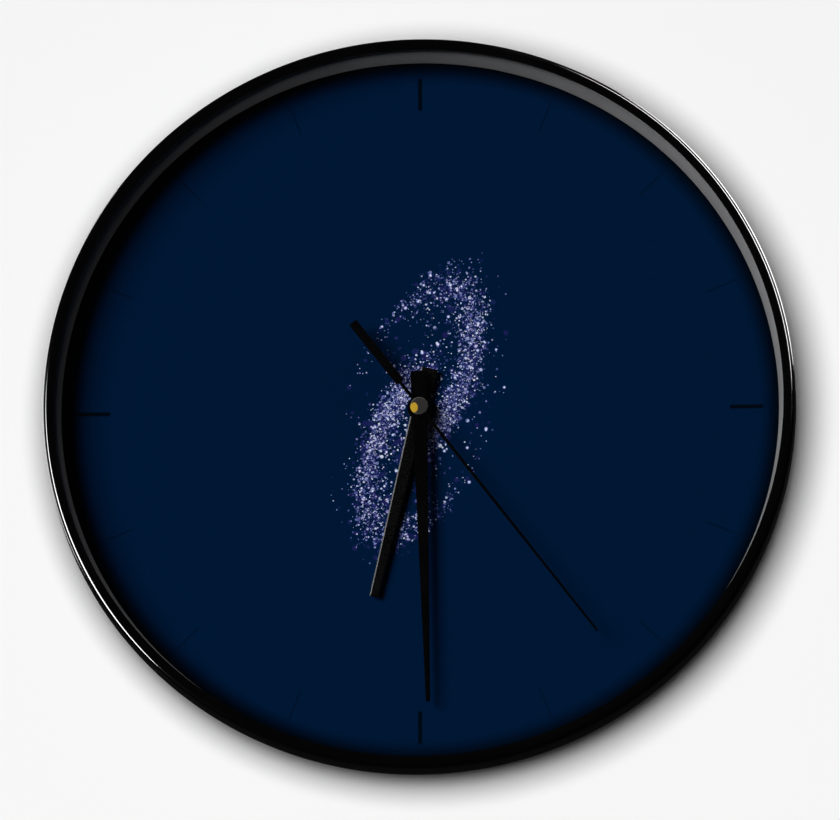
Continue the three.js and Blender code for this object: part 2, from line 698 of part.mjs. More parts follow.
function rotor() {
  const middle = (statorRear + statorFront) / 2;
  const magnet = drum(ROTOR_RADIUS, middle - ROTOR_HEIGHT / 2, middle + ROTOR_HEIGHT / 2, SMALL_ROUND);
  return join(arbor(), magnet, gear(ROTOR_TEETH, ROTOR_MODULE, rotorPhase, 6));
}

function intermediateWheel() {
  return join(
    arbor(),
    gear(INTERMEDIATE_TEETH, ROTOR_MODULE, 0, 6),
    gear(INTERMEDIATE_LEAVES, INTERMEDIATE_MODULE, 0, 4),
  );
}

function secondsWheel() {
  return join(
    drum(PIVOT_RADIUS, chamberRear + END_PLAY - PIVOT_LENGTH, chamberRear + LAP, TINY_ROUND),
    drum(SECONDS_RADIUS, chamberRear + END_PLAY, capRear - PRESS, TINY_ROUND),
    gear(SECONDS_TEETH, INTERMEDIATE_MODULE, secondsPhase, 4),
    gear(SECONDS_LEAVES, THIRD_MODULE, 0, 5),
  );
}

function thirdWheel() {
  return join(
    arbor(),
    gear(THIRD_TEETH, THIRD_MODULE, thirdPhase, 5),
    gear(THIRD_LEAVES, centreModule, 0, 3),
  );
}

function centreWheel() {
  const { rear, front } = layer(3);
  const bore = drum(holeFor(MINUTE_RADIUS, RUN, SMALL_ROUND), rear - LAP, front + LAP, SMALL_ROUND);
  return cut(gear(CENTRE_TEETH, centreModule, centrePhase, 3), bore);
}

// The cannon pinion's tube carries the minute hand; its flange keeps the centre wheel up against it.
function minuteArbor() {
  const flangeFront = layer(3).rear - RUN;
  const bottom = flangeFront - CANNON_FLANGE_THICKNESS;
  const top = minuteHandRear + 2 * HAND_THICKNESS;
  const body = join(
    drum(MINUTE_RADIUS, bottom, top, SMALL_ROUND),
    drum(MINUTE_RADIUS + CANNON_FLANGE, bottom, flangeFront, SMALL_ROUND),
    gear(CANNON_LEAVES, MOTION_MODULE, 0, 2),
  );
  const bore = holeFor(SECONDS_RADIUS, RUN, SMALL_ROUND);
  return cut(body, drum(bore, bottom - LAP, top + LAP, SMALL_ROUND));
}

function motionWheel() {
  return join(
    arbor(),
    gear(MOTION_TEETH, MOTION_MODULE, motionPhase, 2),
    gear(MOTION_LEAVES, hourModule, 0, 1),
  );
}

function hourWheel() {
  const { rear } = layer(1);
  const top = hourHandRear + 2 * HAND_THICKNESS;
  const body = join(
    drum(HOUR_RADIUS, rear, top, SMALL_ROUND),
    gear(HOUR_TEETH, hourModule, hourPhase, 1),
  );
  const bore = holeFor(MINUTE_RADIUS, RUN, SMALL_ROUND);
  return cut(body, drum(bore, rear - LAP, top + LAP, SMALL_ROUND));
}

const knobFront = movementRear - SEAT;

function settingWheel() {
  const front = chamberFront - END_PLAY;
  return join(
    drum(SETTING_RADIUS, knobFront - KNOB_THICKNESS, front, SMALL_ROUND),
    drum(PIVOT_RADIUS, front - LAP, front + PIVOT_LENGTH, TINY_ROUND),
    gear(SETTING_LEAVES, MOTION_MODULE, settingPhase, 2),
  );
}

function settingKnob() {
  const points = [];
  for (let i = 0; i < 2 * SMALL_ROUND; i += 1) {
    const angle = (i / (2 * SMALL_ROUND)) * 2 * Math.PI;
    const radius = KNOB_RADIUS - (i % 2) * KNOB_NOTCH;
    points.push([radius * Math.cos(angle), radius * Math.sin(angle)]);
  }
  const rear = knobFront - KNOB_THICKNESS;
  const bore = drum(holeFor(SETTING_RADIUS, PRESS, SMALL_ROUND), rear - LAP, knobFront + LAP, SMALL_ROUND);
  return cut(plate(polygon(points), rear, knobFront), bore);
}

// Hands, pointing at twelve.

function taper(bottom, bottomWidth, top, topWidth, rear) {
  const outline = polygon([
    [-bottomWidth / 2, bottom],
    [bottomWidth / 2, bottom],
    [topWidth / 2, top],
    [-topWidth / 2, top],
  ]);
  return plate(outline, rear, rear + HAND_THICKNESS);
}

function barHand(hand, rear, shaft) {
  const front = rear + HAND_THICKNESS;
  const bore = drum(holeFor(shaft, PRESS, SMALL_ROUND), rear - LAP, front + LAP, SMALL_ROUND);
  const blade = taper(-hand.tail, hand.base, hand.length, hand.tip, rear);
  return cut(join(blade, drum(EYE_RADIUS, rear, front, 2 * SMALL_ROUND)), bore);
}

function secondHand() {
  const rear = secondHandRear;
  const front = rear + HAND_THICKNESS;
  const body = join(
    taper(0, SECOND_HAND.needle, SECOND_HAND.length, SECOND_HAND.tip, rear),
    taper(-SECOND_HAND.neck - LAP, SECOND_HAND.needle, 0, SECOND_HAND.needle, rear),
    taper(-SECOND_HAND.tail, SECOND_HAND.bar, -SECOND_HAND.neck, SECOND_HAND.bar, rear),
    drum(CAP_RADIUS - CAP_CHAMFER, rear, front, SMALL_ROUND),
  );
  const bore = holeFor(STEM_RADIUS, PRESS, SMALL_ROUND);
  return cut(body, drum(bore, rear - LAP, front + LAP, SMALL_ROUND));
}

// The cap's stem goes through the second hand and is pressed on the seconds arbor, which ends under it.
function secondHandCap() {
  const bottom = secondHandRear - HAND_THICKNESS;
  const front = capRear + CAP_HEIGHT;
  const head = spin([
    [0, capRear],
    [CAP_RADIUS, capRear],
    [CAP_RADIUS, front - CAP_CHAMFER],
    [CAP_RADIUS - CAP_CHAMFER, front],
    [0, front],
  ], SMALL_ROUND);
  const stem = drum(STEM_RADIUS, bottom, capRear + LAP, SMALL_ROUND);
  const bore = drum(holeFor(SECONDS_RADIUS, PRESS, SMALL_ROUND), bottom - LAP, capRear, SMALL_ROUND);
  return cut(join(head, stem), bore);
}

// Materials.

function material(color, roughness, metalness, extra = {}) {
  return new THREE.MeshStandardMaterial({ color, roughness, metalness, ...extra });
}

const glossBlack = material(0x0b0b0c, 0.12, 0);
const matteBlack = material(0x1c1c1d, 0.6, 0);
const matteGrey = material(0x3a3a3b, 0.7, 0);
const navy = material(0x001932, 0.55, 0);
const clear = material(0xffffff, 0.02, 0, { transparent: true, opacity: 0.08 });
const handBlack = material(0x0a0a0b, 0.35, 0.2);
const gunmetal = material(0x2e2d2c, 0.35, 0.9);
const steel = material(0xb4b6b8, 0.35, 1);
const darkSteel = material(0x6d6f72, 0.4, 1);
const brass = material(0xb08d3f, 0.3, 1);
const copper = material(0xa8562b, 0.35, 1);
const nylon = material(0xe9e6dc, 0.5, 0);
const boardGreen = material(0x1f4a34, 0.6, 0);
const chipBlack = material(0x101011, 0.4, 0);
const batteryCase = material(0x3b4249, 0.3, 0.6);
const bobbinWhite = material(0xd8d4c6, 0.55, 0);
const magnet = material(0x3b3b3e, 0.5, 0.7);

// Assembly.

const clock = new THREE.Group();
clock.position.z = -HANG_HEIGHT;

function add(name, geometry, look, place = {}) {
  const mesh = new THREE.Mesh(geometry, look);
  mesh.name = name;
  mesh.position.set(place.x ?? 0, 0, place.z ?? 0);
  mesh.rotation.y = THREE.MathUtils.degToRad(place.turn ?? 0);
  clock.add(mesh);
}

add("front_bezel", frontBezel(), glossBlack);
add("lens", drum(lensRadius, lensRear, lensFront, ROUND), clear);
add("inner_ring", innerRing(), matteGrey);
add("dial", tube(bushHole, dialRadius, dialRear, dialFront, ROUND), navy);
add("back_case", backCase(), matteBlack);
add("hanger_plate", hangerPlate(), steel);
add("hanger_screw_left", hangerScrew(), steel, { x: postSides[0], z: postTop });
add("hanger_screw_right", hangerScrew(), steel, { x: postSides[1], z: postTop });

add("movement_base", movementBase(), matteBlack);
add("movement_cover", movementCover(), matteBlack);
add("battery", battery(), batteryCase);
add("battery_contact_positive", contact(1), steel);
add("battery_contact_negative", contact(-1), steel);
add("circuit_board", circuitBoard(), boardGreen);
add("quartz_crystal", quartzCrystal(), steel);
add("driver_chip", driverChip(), chipBlack);
add("coil_core", coilCore(), darkSteel);
add("coil_bobbin", coilBobbin(), bobbinWhite);
add("coil_winding", coilWinding(), copper);
add("stator", stator(), darkSteel);

add("rotor", rotor(), magnet, rotorAxis);
add("intermediate_wheel", intermediateWheel(), nylon, intermediateAxis);
add("seconds_wheel", secondsWheel(), nylon);
add("third_wheel", thirdWheel(), nylon, thirdAxis);
add("centre_wheel", centreWheel(), nylon);
add("minute_arbor", minuteArbor(), brass);
add("motion_wheel", motionWheel(), nylon, motionAxis);
add("hour_wheel", hourWheel(), nylon);
add("setting_wheel", settingWheel(), nylon, settingAxis);
add("setting_knob", settingKnob(), matteGrey, settingAxis);

const hourHand = barHand(HOUR_HAND, hourHandRear, HOUR_RADIUS);
const minuteHand = barHand(MINUTE_HAND, minuteHandRear, MINUTE_RADIUS);
add("hour_hand", hourHand, handBlack, { turn: HOUR_HAND.angle });
add("minute_hand", minuteHand, handBlack, { turn: MINUTE_HAND.angle });
add("second_hand", secondHand(), handBlack, { turn: SECOND_HAND.angle });
add("second_hand_cap", secondHandCap(), gunmetal);

const part = new THREE.Group();
part.add(clock);

export default part;
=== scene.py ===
# %% [markdown]
# # A round wall clock
# The clock hangs on a nail: a glossy black bezel, a flat lens, a navy dial with three black hands, and
# behind the dial a matte back case that carries the battery movement. The frame gives every solid at its
# real size and place. This lesson makes finer surfaces for them with numpy and gives each one its
# finish.

# %% Load the frame
import json
import math
from collections import namedtuple

import bmesh
import bpy
import numpy as np
from mathutils import Matrix, Vector
from mathutils.geometry import tessellate_polygon


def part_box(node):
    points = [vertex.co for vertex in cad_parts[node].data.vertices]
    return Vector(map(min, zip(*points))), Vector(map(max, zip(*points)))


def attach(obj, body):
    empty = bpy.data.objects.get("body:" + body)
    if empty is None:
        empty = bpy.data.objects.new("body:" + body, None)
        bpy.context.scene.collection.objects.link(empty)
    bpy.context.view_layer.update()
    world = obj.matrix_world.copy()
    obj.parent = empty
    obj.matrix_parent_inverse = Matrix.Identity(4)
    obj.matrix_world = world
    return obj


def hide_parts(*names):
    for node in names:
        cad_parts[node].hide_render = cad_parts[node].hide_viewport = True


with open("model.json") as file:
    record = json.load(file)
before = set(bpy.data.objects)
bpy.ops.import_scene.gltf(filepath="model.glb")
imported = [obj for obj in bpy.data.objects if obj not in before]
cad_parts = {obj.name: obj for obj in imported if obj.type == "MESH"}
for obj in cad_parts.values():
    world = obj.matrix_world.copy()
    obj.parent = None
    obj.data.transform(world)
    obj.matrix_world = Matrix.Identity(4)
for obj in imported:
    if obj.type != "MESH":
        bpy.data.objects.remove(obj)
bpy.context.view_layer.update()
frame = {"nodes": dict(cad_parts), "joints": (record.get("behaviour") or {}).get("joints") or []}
scene = bpy.context.scene

# %% [markdown]
# ## Places
# A clock is easiest to draw as its maker does: in millimetres, as x to the right, depth away from the
# wall and height over the axis of the hands. Everything below is drawn that way and turned into the
# frame's metres at the very end, so each number can be held against a ruler.

# %% Millimetres, depths and heights
MM = 0.001
HINGES = [joint for joint in frame["joints"] if joint["type"] == "hinge"]
JOINT_PLACES = {joint["name"]: Vector(joint["pos_m"]) for joint in HINGES}
HAND_AXIS = JOINT_PLACES["minute_hand_turn"]
Span = namedtuple("Span", "left right rear front bottom top")


def span(node):
    """A node's box in millimetres: x, depth from the wall and height over the hand axis."""
    low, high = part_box(node)
    across = (low.x / MM, high.x / MM)
    depths = (-high.y / MM, -low.y / MM)
    heights = ((low.z - HAND_AXIS.z) / MM, (high.z - HAND_AXIS.z) / MM)
    return Span(*across, *depths, *heights)


def to_frame(points):
    """Turn (x, depth, height) in millimetres into metres: y = -depth and z = the axis + height."""
    x, depth, height = np.moveaxis(np.asarray(points, float), -1, 0) * MM
    return np.stack([x, -depth, height + HAND_AXIS.z], axis=-1)


bezel_span = span("front_bezel")
CASE_RADIUS = bezel_span.right
print(f"case radius {CASE_RADIUS:.1f} mm, bezel depths {bezel_span.rear:.1f} to {bezel_span.front:.1f} mm")

# %% [markdown]
# ## Outlines
# Nearly everything in a clock starts as a flat outline: a profile for the lathe, or the shape of a
# stamping. A real edge is never quite sharp, so an outline is a list of corners that each carry their
# own fillet.

# %% Profiles and outlines


def unit(vectors):
    """Vectors brought to a length of 1."""
    return vectors / np.linalg.norm(vectors, axis=1, keepdims=True)


def crossed(a, b):
    """The cross product of flat vectors, which is above 0 where b lies to the left of a."""
    return a[:, 0] * b[:, 1] - a[:, 1] * b[:, 0]


def round_points(angle):
    """Points on a circle of radius 1, at angles anticlockwise from the right."""
    return np.stack([np.cos(angle), np.sin(angle)], axis=-1)


def whole_turn(sides):
    """The angles of one whole turn in equal steps."""
    return np.linspace(0, 2 * np.pi, sides, endpoint=False)


def rounded(corners, steps=6):
    """A closed outline of (a, b, fillet) corners, each corner an arc tangent to its two sides.

    With h half the corner's angle, the arc's centre lies fillet / sin(h) along the bisector, and the arc
    starts fillet / tan(h) along each side."""
    corners = np.array(corners, float)
    place, fillet = corners[:, :2], corners[:, 2:]
    back = unit(np.roll(place, 1, axis=0) - place)
    ahead = unit(np.roll(place, -1, axis=0) - place)
    half = np.arccos(np.clip(np.sum(back * ahead, axis=1, keepdims=True), -1, 1)) / 2
    bisector = back + ahead
    length = np.linalg.norm(bisector, axis=1, keepdims=True)
    bisector = np.divide(bisector, length, out=np.zeros_like(bisector), where=length > 1e-9)
    centre = place + bisector * fillet / np.sin(half)
    start = place + back * fillet / np.tan(half) - centre
    end = place + ahead * fillet / np.tan(half) - centre
    first = np.arctan2(start[:, 1], start[:, 0])[:, None]
    swing = np.arctan2(end[:, 1], end[:, 0])[:, None] - first
    swing = (swing + np.pi) % (2 * np.pi) - np.pi
    angle = first + swing * np.linspace(0, 1, steps + 1)
    outline = (centre[:, None] + fillet[:, None] * round_points(angle)).reshape(-1, 2)
    step = np.linalg.norm(outline - np.roll(outline, 1, axis=0), axis=1)
    return outline[step > 1e-5]


def quarter(start, end, steps=14):
    """A quarter of an ellipse that leaves start along the second axis and reaches end along the first."""
    angle = np.linspace(0, np.pi / 2, steps + 1)
    first = end[0] + (start[0] - end[0]) * np.cos(angle)
    second = start[1] + (end[1] - start[1]) * np.sin(angle)
    return np.stack([first, second], axis=-1)


def sharp(points):
    """Points as corners without a fillet, to mix with filleted ones."""
    return [(a, b, 0) for a, b in points]


def arc(radius, start, end, steps=24, centre=(0, 0)):
    """Points along a circle between two angles in degrees, anticlockwise from the right."""
    angle = np.radians(np.linspace(start, end, steps + 1))
    return np.array(centre) + radius * round_points(angle)


def circle(radius, centre=(0, 0), sides=48):
    """A whole ring of points."""
    return arc(radius, 0, 360, sides, centre)[:-1]


def oblong(left, right, bottom, top, fillet):
    """A rectangle with round corners."""
    corners = [(left, bottom), (right, bottom), (right, top), (left, top)]
    return rounded([(*corner, fillet) for corner in corners])


def turned(outline, degrees, centre=(0, 0)):
    """An outline turned clockwise, as hands turn, and then moved."""
    angle = math.radians(degrees)
    matrix = np.array([[math.cos(angle), -math.sin(angle)], [math.sin(angle), math.cos(angle)]])
    return outline @ matrix + np.array(centre)


def anticlockwise(loop, wanted=True):
    """The loop, run backwards if it doesn't go the way wanted. Its area is half the sum of a x b."""
    area = np.sum(crossed(loop, np.roll(loop, -1, axis=0)))
    return loop if (area > 0) == wanted else loop[::-1]


# %% [markdown]
# ## Three ways to make a surface
# A lathe carries a profile round an axis. A stamping gives an outline with holes a thickness and a small
# rounded edge. A spring is a circle carried along a curve. Each way is one function on whole arrays that
# returns points, faces and a value for how near each point is to a rounded edge. Seams are joined by
# index, so nothing has to be welded afterwards.

# %% Lathe, stamping and tube
Shell = namedtuple("Shell", "points faces edge")


def ring_quads(rows, columns, wrap):
    """Indices of a grid's quads. The rows close into a ring, and so do the columns where wrap is true."""
    index = np.arange(rows * columns).reshape(rows, columns)
    if wrap:
        index = np.hstack([index, index[:, :1]])
    ahead = np.roll(index, -1, axis=0)
    return np.stack([index[:, :-1], ahead[:, :-1], ahead[:, 1:], index[:, 1:]], axis=-1).reshape(-1, 4)


def fans(first, last, pole):
    """Triangles that close both ends of a grid on two pole vertices."""
    near = np.stack([np.full(len(first), pole), np.roll(first, -1), first], axis=-1)
    far = np.stack([np.full(len(last), pole + 1), last, np.roll(last, -1)], axis=-1)
    return np.vstack([near, far])


def bend(profile):
    """How sharply a profile turns outwards at each point: turning angle over length, up to 1 per mm."""
    back = profile - np.roll(profile, 1, axis=0)
    ahead = np.roll(profile, -1, axis=0) - profile
    angle = np.arctan2(crossed(back, ahead), np.sum(back * ahead, axis=1))
    length = (np.linalg.norm(back, axis=1) + np.linalg.norm(ahead, axis=1)) / 2
    return np.clip(angle * np.sign(angle.sum()) / length, 0, 1)


def lathe(profile, sides, centre=(0, 0)):
    """Carry a profile of (radius, depth) round an axis: point (i, k) is (r_k sin t_i, d_k, r_k cos t_i).

    A profile from axis to axis gets one vertex for each end; any other profile closes on itself."""
    profile = np.asarray(profile, float)
    solid = abs(profile[0, 0]) + abs(profile[-1, 0]) < 1e-6
    inner = slice(1, -1) if solid else slice(None)
    radius, depth = profile[inner].T
    turn = whole_turn(sides)[:, None]
    depths = np.broadcast_to(depth, (sides, len(depth)))
    points = np.stack([radius * np.sin(turn), depths, radius * np.cos(turn)], axis=-1).reshape(-1, 3)
    edge = np.tile(bend(profile)[inner], sides)
    faces = [ring_quads(sides, len(radius), wrap=not solid)]
    if solid:
        first = np.arange(sides) * len(radius)
        faces.append(fans(first, first + len(radius) - 1, len(points)))
        points = np.vstack([points, [[0, profile[0, 1], 0], [0, profile[-1, 1], 0]]])
        edge = np.append(edge, [0, 0])
    return Shell(points + np.array([centre[0], 0, centre[1]]), faces, edge)


def inset(loop, amount):
    """Move each side of a loop to its left by an amount; a corner goes to where its sides then meet."""
    side = unit(np.roll(loop, -1, axis=0) - loop)
    normal = np.stack([-side[:, 1], side[:, 0]], axis=-1)
    before = np.roll(normal, 1, axis=0)
    return loop + amount * (before + normal) / (1 + np.sum(before * normal, axis=1, keepdims=True))


def filled(loops):
    """Anticlockwise triangles that fill the first loop less the others, as indices of all their points."""
    flat = np.vstack(loops)
    triangles = np.array(tessellate_polygon([[Vector((*point, 0)) for point in loop] for loop in loops]))
    a, b, c = (flat[triangles[:, k]] for k in range(3))
    clockwise = crossed(b - a, c - a) < 0
    triangles[clockwise] = triangles[clockwise][:, ::-1]
    return triangles


def stamping(outline, rear, front, edge=0.0, holes=(), steps=3, facet=None):
    """A plate between two depths with rounded edges, drawn as (x, height) loops.

    Round an edge by an angle a, a loop is drawn in by edge (1 - sin a) at edge (1 - cos a) from the face.
    A facet of (width, depth) takes the place of the rounding in front. Both faces are filled flat."""
    loops = [anticlockwise(outline)] + [anticlockwise(hole, False) for hole in holes]
    angle = np.linspace(0, np.pi / 2, steps + 1) if edge else np.full(1, np.pi / 2)
    drawn_in = edge * (1 - np.sin(angle))
    from_face = edge * (1 - np.cos(angle)) if edge else np.zeros(1)
    near_edge = np.sin(2 * angle)
    front_in, front_from, front_edge = drawn_in[::-1], from_face[::-1], near_edge[::-1]
    if facet:
        front_in, front_from, front_edge = np.array([0, facet[0]]), np.array([facet[1], 0]), np.zeros(2)
    insets = np.concatenate([drawn_in, front_in])
    levels = np.concatenate([rear + from_face, front - front_from])
    near_edge = np.concatenate([near_edge, front_edge])
    points, faces, starts = [], [], []
    count = 0
    for loop in loops:
        rings = np.stack([inset(loop, amount) for amount in insets], axis=1)
        depths = np.broadcast_to(levels, rings.shape[:2])
        points.append(np.stack([rings[..., 0], depths, rings[..., 1]], axis=-1).reshape(-1, 3))
        faces.append(ring_quads(len(loop), len(levels), wrap=False) + count)
        starts.append(count + np.arange(len(loop)) * len(levels))
        count += len(loop) * len(levels)
    face = np.concatenate(starts)[filled([inset(loop, insets[0]) for loop in loops])]
    faces += [face[:, ::-1], face + len(levels) - 1]
    return Shell(np.vstack(points), faces, np.tile(near_edge, count // len(levels)))


def tube(path, outward, radius, sides=10):
    """Carry a circle along a path. It lies across the path, turned to the outward direction given."""
    along = unit(np.gradient(path, axis=0))
    normal = unit(outward - np.sum(outward * along, axis=1, keepdims=True) * along)
    other = np.cross(along, normal)
    turn = whole_turn(sides)[:, None, None]
    points = path + radius * (normal * np.cos(turn) + other * np.sin(turn))
    points = np.vstack([points.reshape(-1, 3), path[:1], path[-1:]])
    first = np.arange(sides) * len(path)
    ends = fans(first, first + len(path) - 1, sides * len(path))
    return Shell(points, [ring_quads(sides, len(path), wrap=False), ends], np.zeros(len(points)))


def washer(where, inner, fillet, inner_fillet):
    """The profile of a flat disc that fills a span from an inner radius outwards."""
    return rounded([(inner, where.rear, inner_fillet), (where.right, where.rear, fillet),
                    (where.right, where.front, fillet), (inner, where.front, inner_fillet)])


def swapped(shell, order, move=(0, 0, 0)):
    """A shell whose (x, depth, height) columns are taken in another order and then moved."""
    return shell._replace(points=shell.points[:, order] + np.array(move))


# %% [markdown]
# ## From arrays to a piece
# A closed surface has an inside and an outside. Adding up the tetrahedra between its middle and each
# face gives its volume, and a negative sum means that the faces look inwards, so they are turned round.
# Then the mesh is shaded smooth, with a crease wherever two faces meet at more than the angle given.
# Boxy mouldings keep the frame's own shape: a welded copy gets its edges rounded by a Bevel modifier.

# %% Put a piece in the frame


def outward_faces(points, faces):
    """The faces, turned round where the volume that they enclose comes out negative."""
    middle = points - points.mean(axis=0)
    total = 0
    for block in faces:
        for k in range(1, block.shape[1] - 1):
            total += np.sum(middle[block[:, 0]] * np.cross(middle[block[:, k]], middle[block[:, k + 1]]))
    return faces if total > 0 else [block[:, ::-1] for block in faces]


def put(name, shells, finish, body="case", stands_for=(), crease=35, marks=None):
    """Make one piece of closed shells and ride it on a body. Marks are values of its points, by name."""
    faces = []
    count = 0
    for shell in shells:
        blocks = outward_faces(to_frame(shell.points), shell.faces)
        faces += [face for block in blocks for face in (block + count).tolist()]
        count += len(shell.points)
    mesh = bpy.data.meshes.new(name)
    mesh.from_pydata(to_frame(np.vstack([shell.points for shell in shells])).tolist(), [], faces)
    values = {"edge": np.concatenate([shell.edge for shell in shells]), **(marks or {})}
    for label, numbers in values.items():
        mesh.attributes.new(label, "FLOAT", "POINT").data.foreach_set("value", numbers.astype(np.float32))
    return handed_over(name, mesh, finish, body, stands_for, crease)


def handed_over(name, mesh, finish, body, stands_for, crease):
    """Shade a mesh, give it its finish and hand it to the frame as a piece."""
    mesh.polygons.foreach_set("use_smooth", np.ones(len(mesh.polygons), bool))
    mesh.set_sharp_from_angle(angle=math.radians(crease))
    mesh.materials.clear()
    mesh.materials.append(finish)
    piece = bpy.data.objects.new(name, mesh)
    scene.collection.objects.link(piece)
    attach(piece, body)
    if stands_for:
        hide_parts(*stands_for)
    print(f"{name}: {len(mesh.vertices)} points on {body}")
    return piece


def softened(name, node, width, finish, body="case"):
    """A welded copy of a moulded node whose sharp edges are rounded, as they are in a mould."""
    mesh = frame["nodes"][node].data.copy()
    shape = bmesh.new()
    shape.from_mesh(mesh)
    bmesh.ops.remove_doubles(shape, verts=shape.verts, dist=1e-6)
    bmesh.ops.dissolve_limit(shape, angle_limit=math.radians(1), verts=shape.verts, edges=shape.edges)
    shape.to_mesh(mesh)
    shape.free()
    piece = handed_over(name, mesh, finish, body, (node,), 32)
    bevel = piece.modifiers.new("moulded_edge", "BEVEL")
    bevel.width = width * MM
    bevel.segments = 3
    bevel.limit_method = "ANGLE"
    bevel.angle_limit = math.radians(40)
    bevel.use_clamp_overlap = False
    return piece


# %% [markdown]
# ## Effects that several finishes share
# Moulded plastic shows the spark-eroded grain of its mould and slight shade differences where it flowed.
# Rolled or brushed metal shows long fine lines. Painted and plated edges rub through first. Each effect
# is one node group that puts out values which change over the surface, so that each finish can take as
# much of it as it needs.

# %% Node helpers


def colour(red, green, blue):
    """A colour given as on a screen, from 0 to 255, as the linear values that a shader takes."""
    screen = np.array([red, green, blue]) / 255
    linear = np.where(screen <= 0.04045, screen / 12.92, ((screen + 0.055) / 1.055) ** 2.4)
    return (*linear, 1.0)


def make(tree, kind, values=None, **settings):
    """Add a node. A value that is a socket is linked, and any other is typed into the node's own socket."""
    made = tree.nodes.new(kind)
    for name, value in settings.items():
        setattr(made, name, value)
    for name, value in (values or {}).items():
        if isinstance(value, bpy.types.NodeSocket):
            tree.links.new(value, made.inputs[name])
        else:
            made.inputs[name].default_value = value
    return made


def sums(tree, operation, a, b=0.0, c=0.0):
    """One step of arithmetic on values or sockets."""
    return make(tree, "ShaderNodeMath", {0: a, 1: b, 2: c}, operation=operation).outputs[0]


def ranged(tree, value, low, high, to_low=0.0, to_high=1.0):
    """Carry a value from one range to another, eased and held at its ends."""
    values = {"Value": value, "From Min": low, "From Max": high, "To Min": to_low, "To Max": to_high}
    return make(tree, "ShaderNodeMapRange", values, interpolation_type="SMOOTHSTEP").outputs["Result"]


def spread(tree, value, low=0.0, high=1.0):
    """Carry the range in which most noise lies to another range."""
    return ranged(tree, value, 0.3, 0.7, low, high)


def blended(tree, share, a, b):
    """A colour between two colours, which are sockets 6 and 7 of a Mix node set to colours."""
    return make(tree, "ShaderNodeMix", {0: share, 6: a, 7: b}, data_type="RGBA").outputs[2]


def noise(tree, vector, scale, detail=3.0):
    """Soft random values from 0 to 1, with about scale of them to the metre."""
    return make(tree, "ShaderNodeTexNoise", {"Vector": vector, "Scale": scale, "Detail": detail}).outputs[0]


def object_place(tree):
    """Where a point lies on the object, in metres."""
    return make(tree, "ShaderNodeTexCoord").outputs["Object"]


def split(tree, vector):
    """The X, Y and Z of a vector."""
    return make(tree, "ShaderNodeSeparateXYZ", {0: vector}).outputs


def attribute(tree, name):
    """A value that the piece carries at each of its points."""
    return make(tree, "ShaderNodeAttribute", attribute_name=name).outputs["Fac"]


def group(name, inputs, outputs):
    """A new shader node group with inputs of (name, default value) and plain number outputs."""
    tree = bpy.data.node_groups.new(name, "ShaderNodeTree")
    for label, default in inputs:
        kind = "NodeSocketVector" if isinstance(default, tuple) else "NodeSocketFloat"
        tree.interface.new_socket(label, in_out="INPUT", socket_type=kind).default_value = default
    for label in outputs:
        tree.interface.new_socket(label, in_out="OUTPUT", socket_type="NodeSocketFloat")
    return tree, tree.nodes.new("NodeGroupInput").outputs, tree.nodes.new("NodeGroupOutput").inputs


def effect(tree, chosen, **values):
    """Place an effect in a material with its own values, and return its outputs."""
    return make(tree, "ShaderNodeGroup", values, node_tree=chosen).outputs


# %% Mould grain, brushed lines and rubbed edges


def mould_grain():
    """Fine pits for Height, and slow differences for Shade, both from 0 to 1."""
    tree, given, result = group("mould_grain", [("Scale", 2500.0), ("Flow", 60.0)], ["Height", "Shade"])
    place = object_place(tree)
    tree.links.new(noise(tree, place, given["Scale"], detail=2.0), result["Height"])
    tree.links.new(spread(tree, noise(tree, place, given["Flow"])), result["Shade"])
    return tree


def brushed_lines():
    """Noise stretched along one direction: Height for a bump, and Streak, which uses its whole range."""
    inputs = [("Stretch", (100.0, 100.0, 4000.0))]
    tree, given, result = group("brushed_lines", inputs, ["Height", "Streak"])
    place = {0: object_place(tree), 1: given["Stretch"]}
    stretched = make(tree, "ShaderNodeVectorMath", place, operation="MULTIPLY").outputs[0]
    fine = noise(tree, stretched, 1.0, detail=4.0)
    tree.links.new(fine, result["Height"])
    tree.links.new(spread(tree, fine), result["Streak"])
    return tree


def rubbed_edge():
    """The piece's own edge attribute broken up by noise, from 0 on flat faces to 1 on worn edges."""
    tree, given, result = group("rubbed_edge", [("Amount", 1.0), ("Scale", 900.0)], ["Rub"])
    patches = ranged(tree, noise(tree, object_place(tree), given["Scale"]), 0.35, 0.65, 0.3, 1.0)
    worn = sums(tree, "MULTIPLY", attribute(tree, "edge"), patches)
    tree.links.new(sums(tree, "MULTIPLY", worn, given["Amount"]), result["Rub"])
    return tree


GRAIN = mould_grain()
BRUSHED = brushed_lines()
RUBBED = rubbed_edge()
print("effects:", ", ".join(tree.name for tree in bpy.data.node_groups))

# %% [markdown]
# ## Two families of finish
# Most pieces are either moulded plastic or bare metal, so each family is one function. A plastic lies
# between two close shades and is pitted by its mould. A metal is streaked along its brushing, and its
# edges are rubbed bright. Values that are even all over a surface go straight onto the shader's own
# sockets.

# %% Plastic and metal


def new_finish(name, even=None):
    """A material with one Principled shader, and its even values typed into the shader's sockets."""
    material = bpy.data.materials.new(name)
    material.use_nodes = True
    shader = material.node_tree.nodes["Principled BSDF"]
    for socket, value in (even or {}).items():
        shader.inputs[socket].default_value = value
    return material, material.node_tree, shader


def link(tree, shader, **sockets):
    """Join outputs to the shader's sockets, named with underscores for spaces."""
    for name, output in sockets.items():
        tree.links.new(output, shader.inputs[name.replace("_", " ")])


def bumped(tree, height, strength, depth_mm):
    """A normal from a height that stands for this many millimetres."""
    values = {"Height": height, "Strength": strength, "Distance": depth_mm * MM}
    return make(tree, "ShaderNodeBump", values).outputs["Normal"]


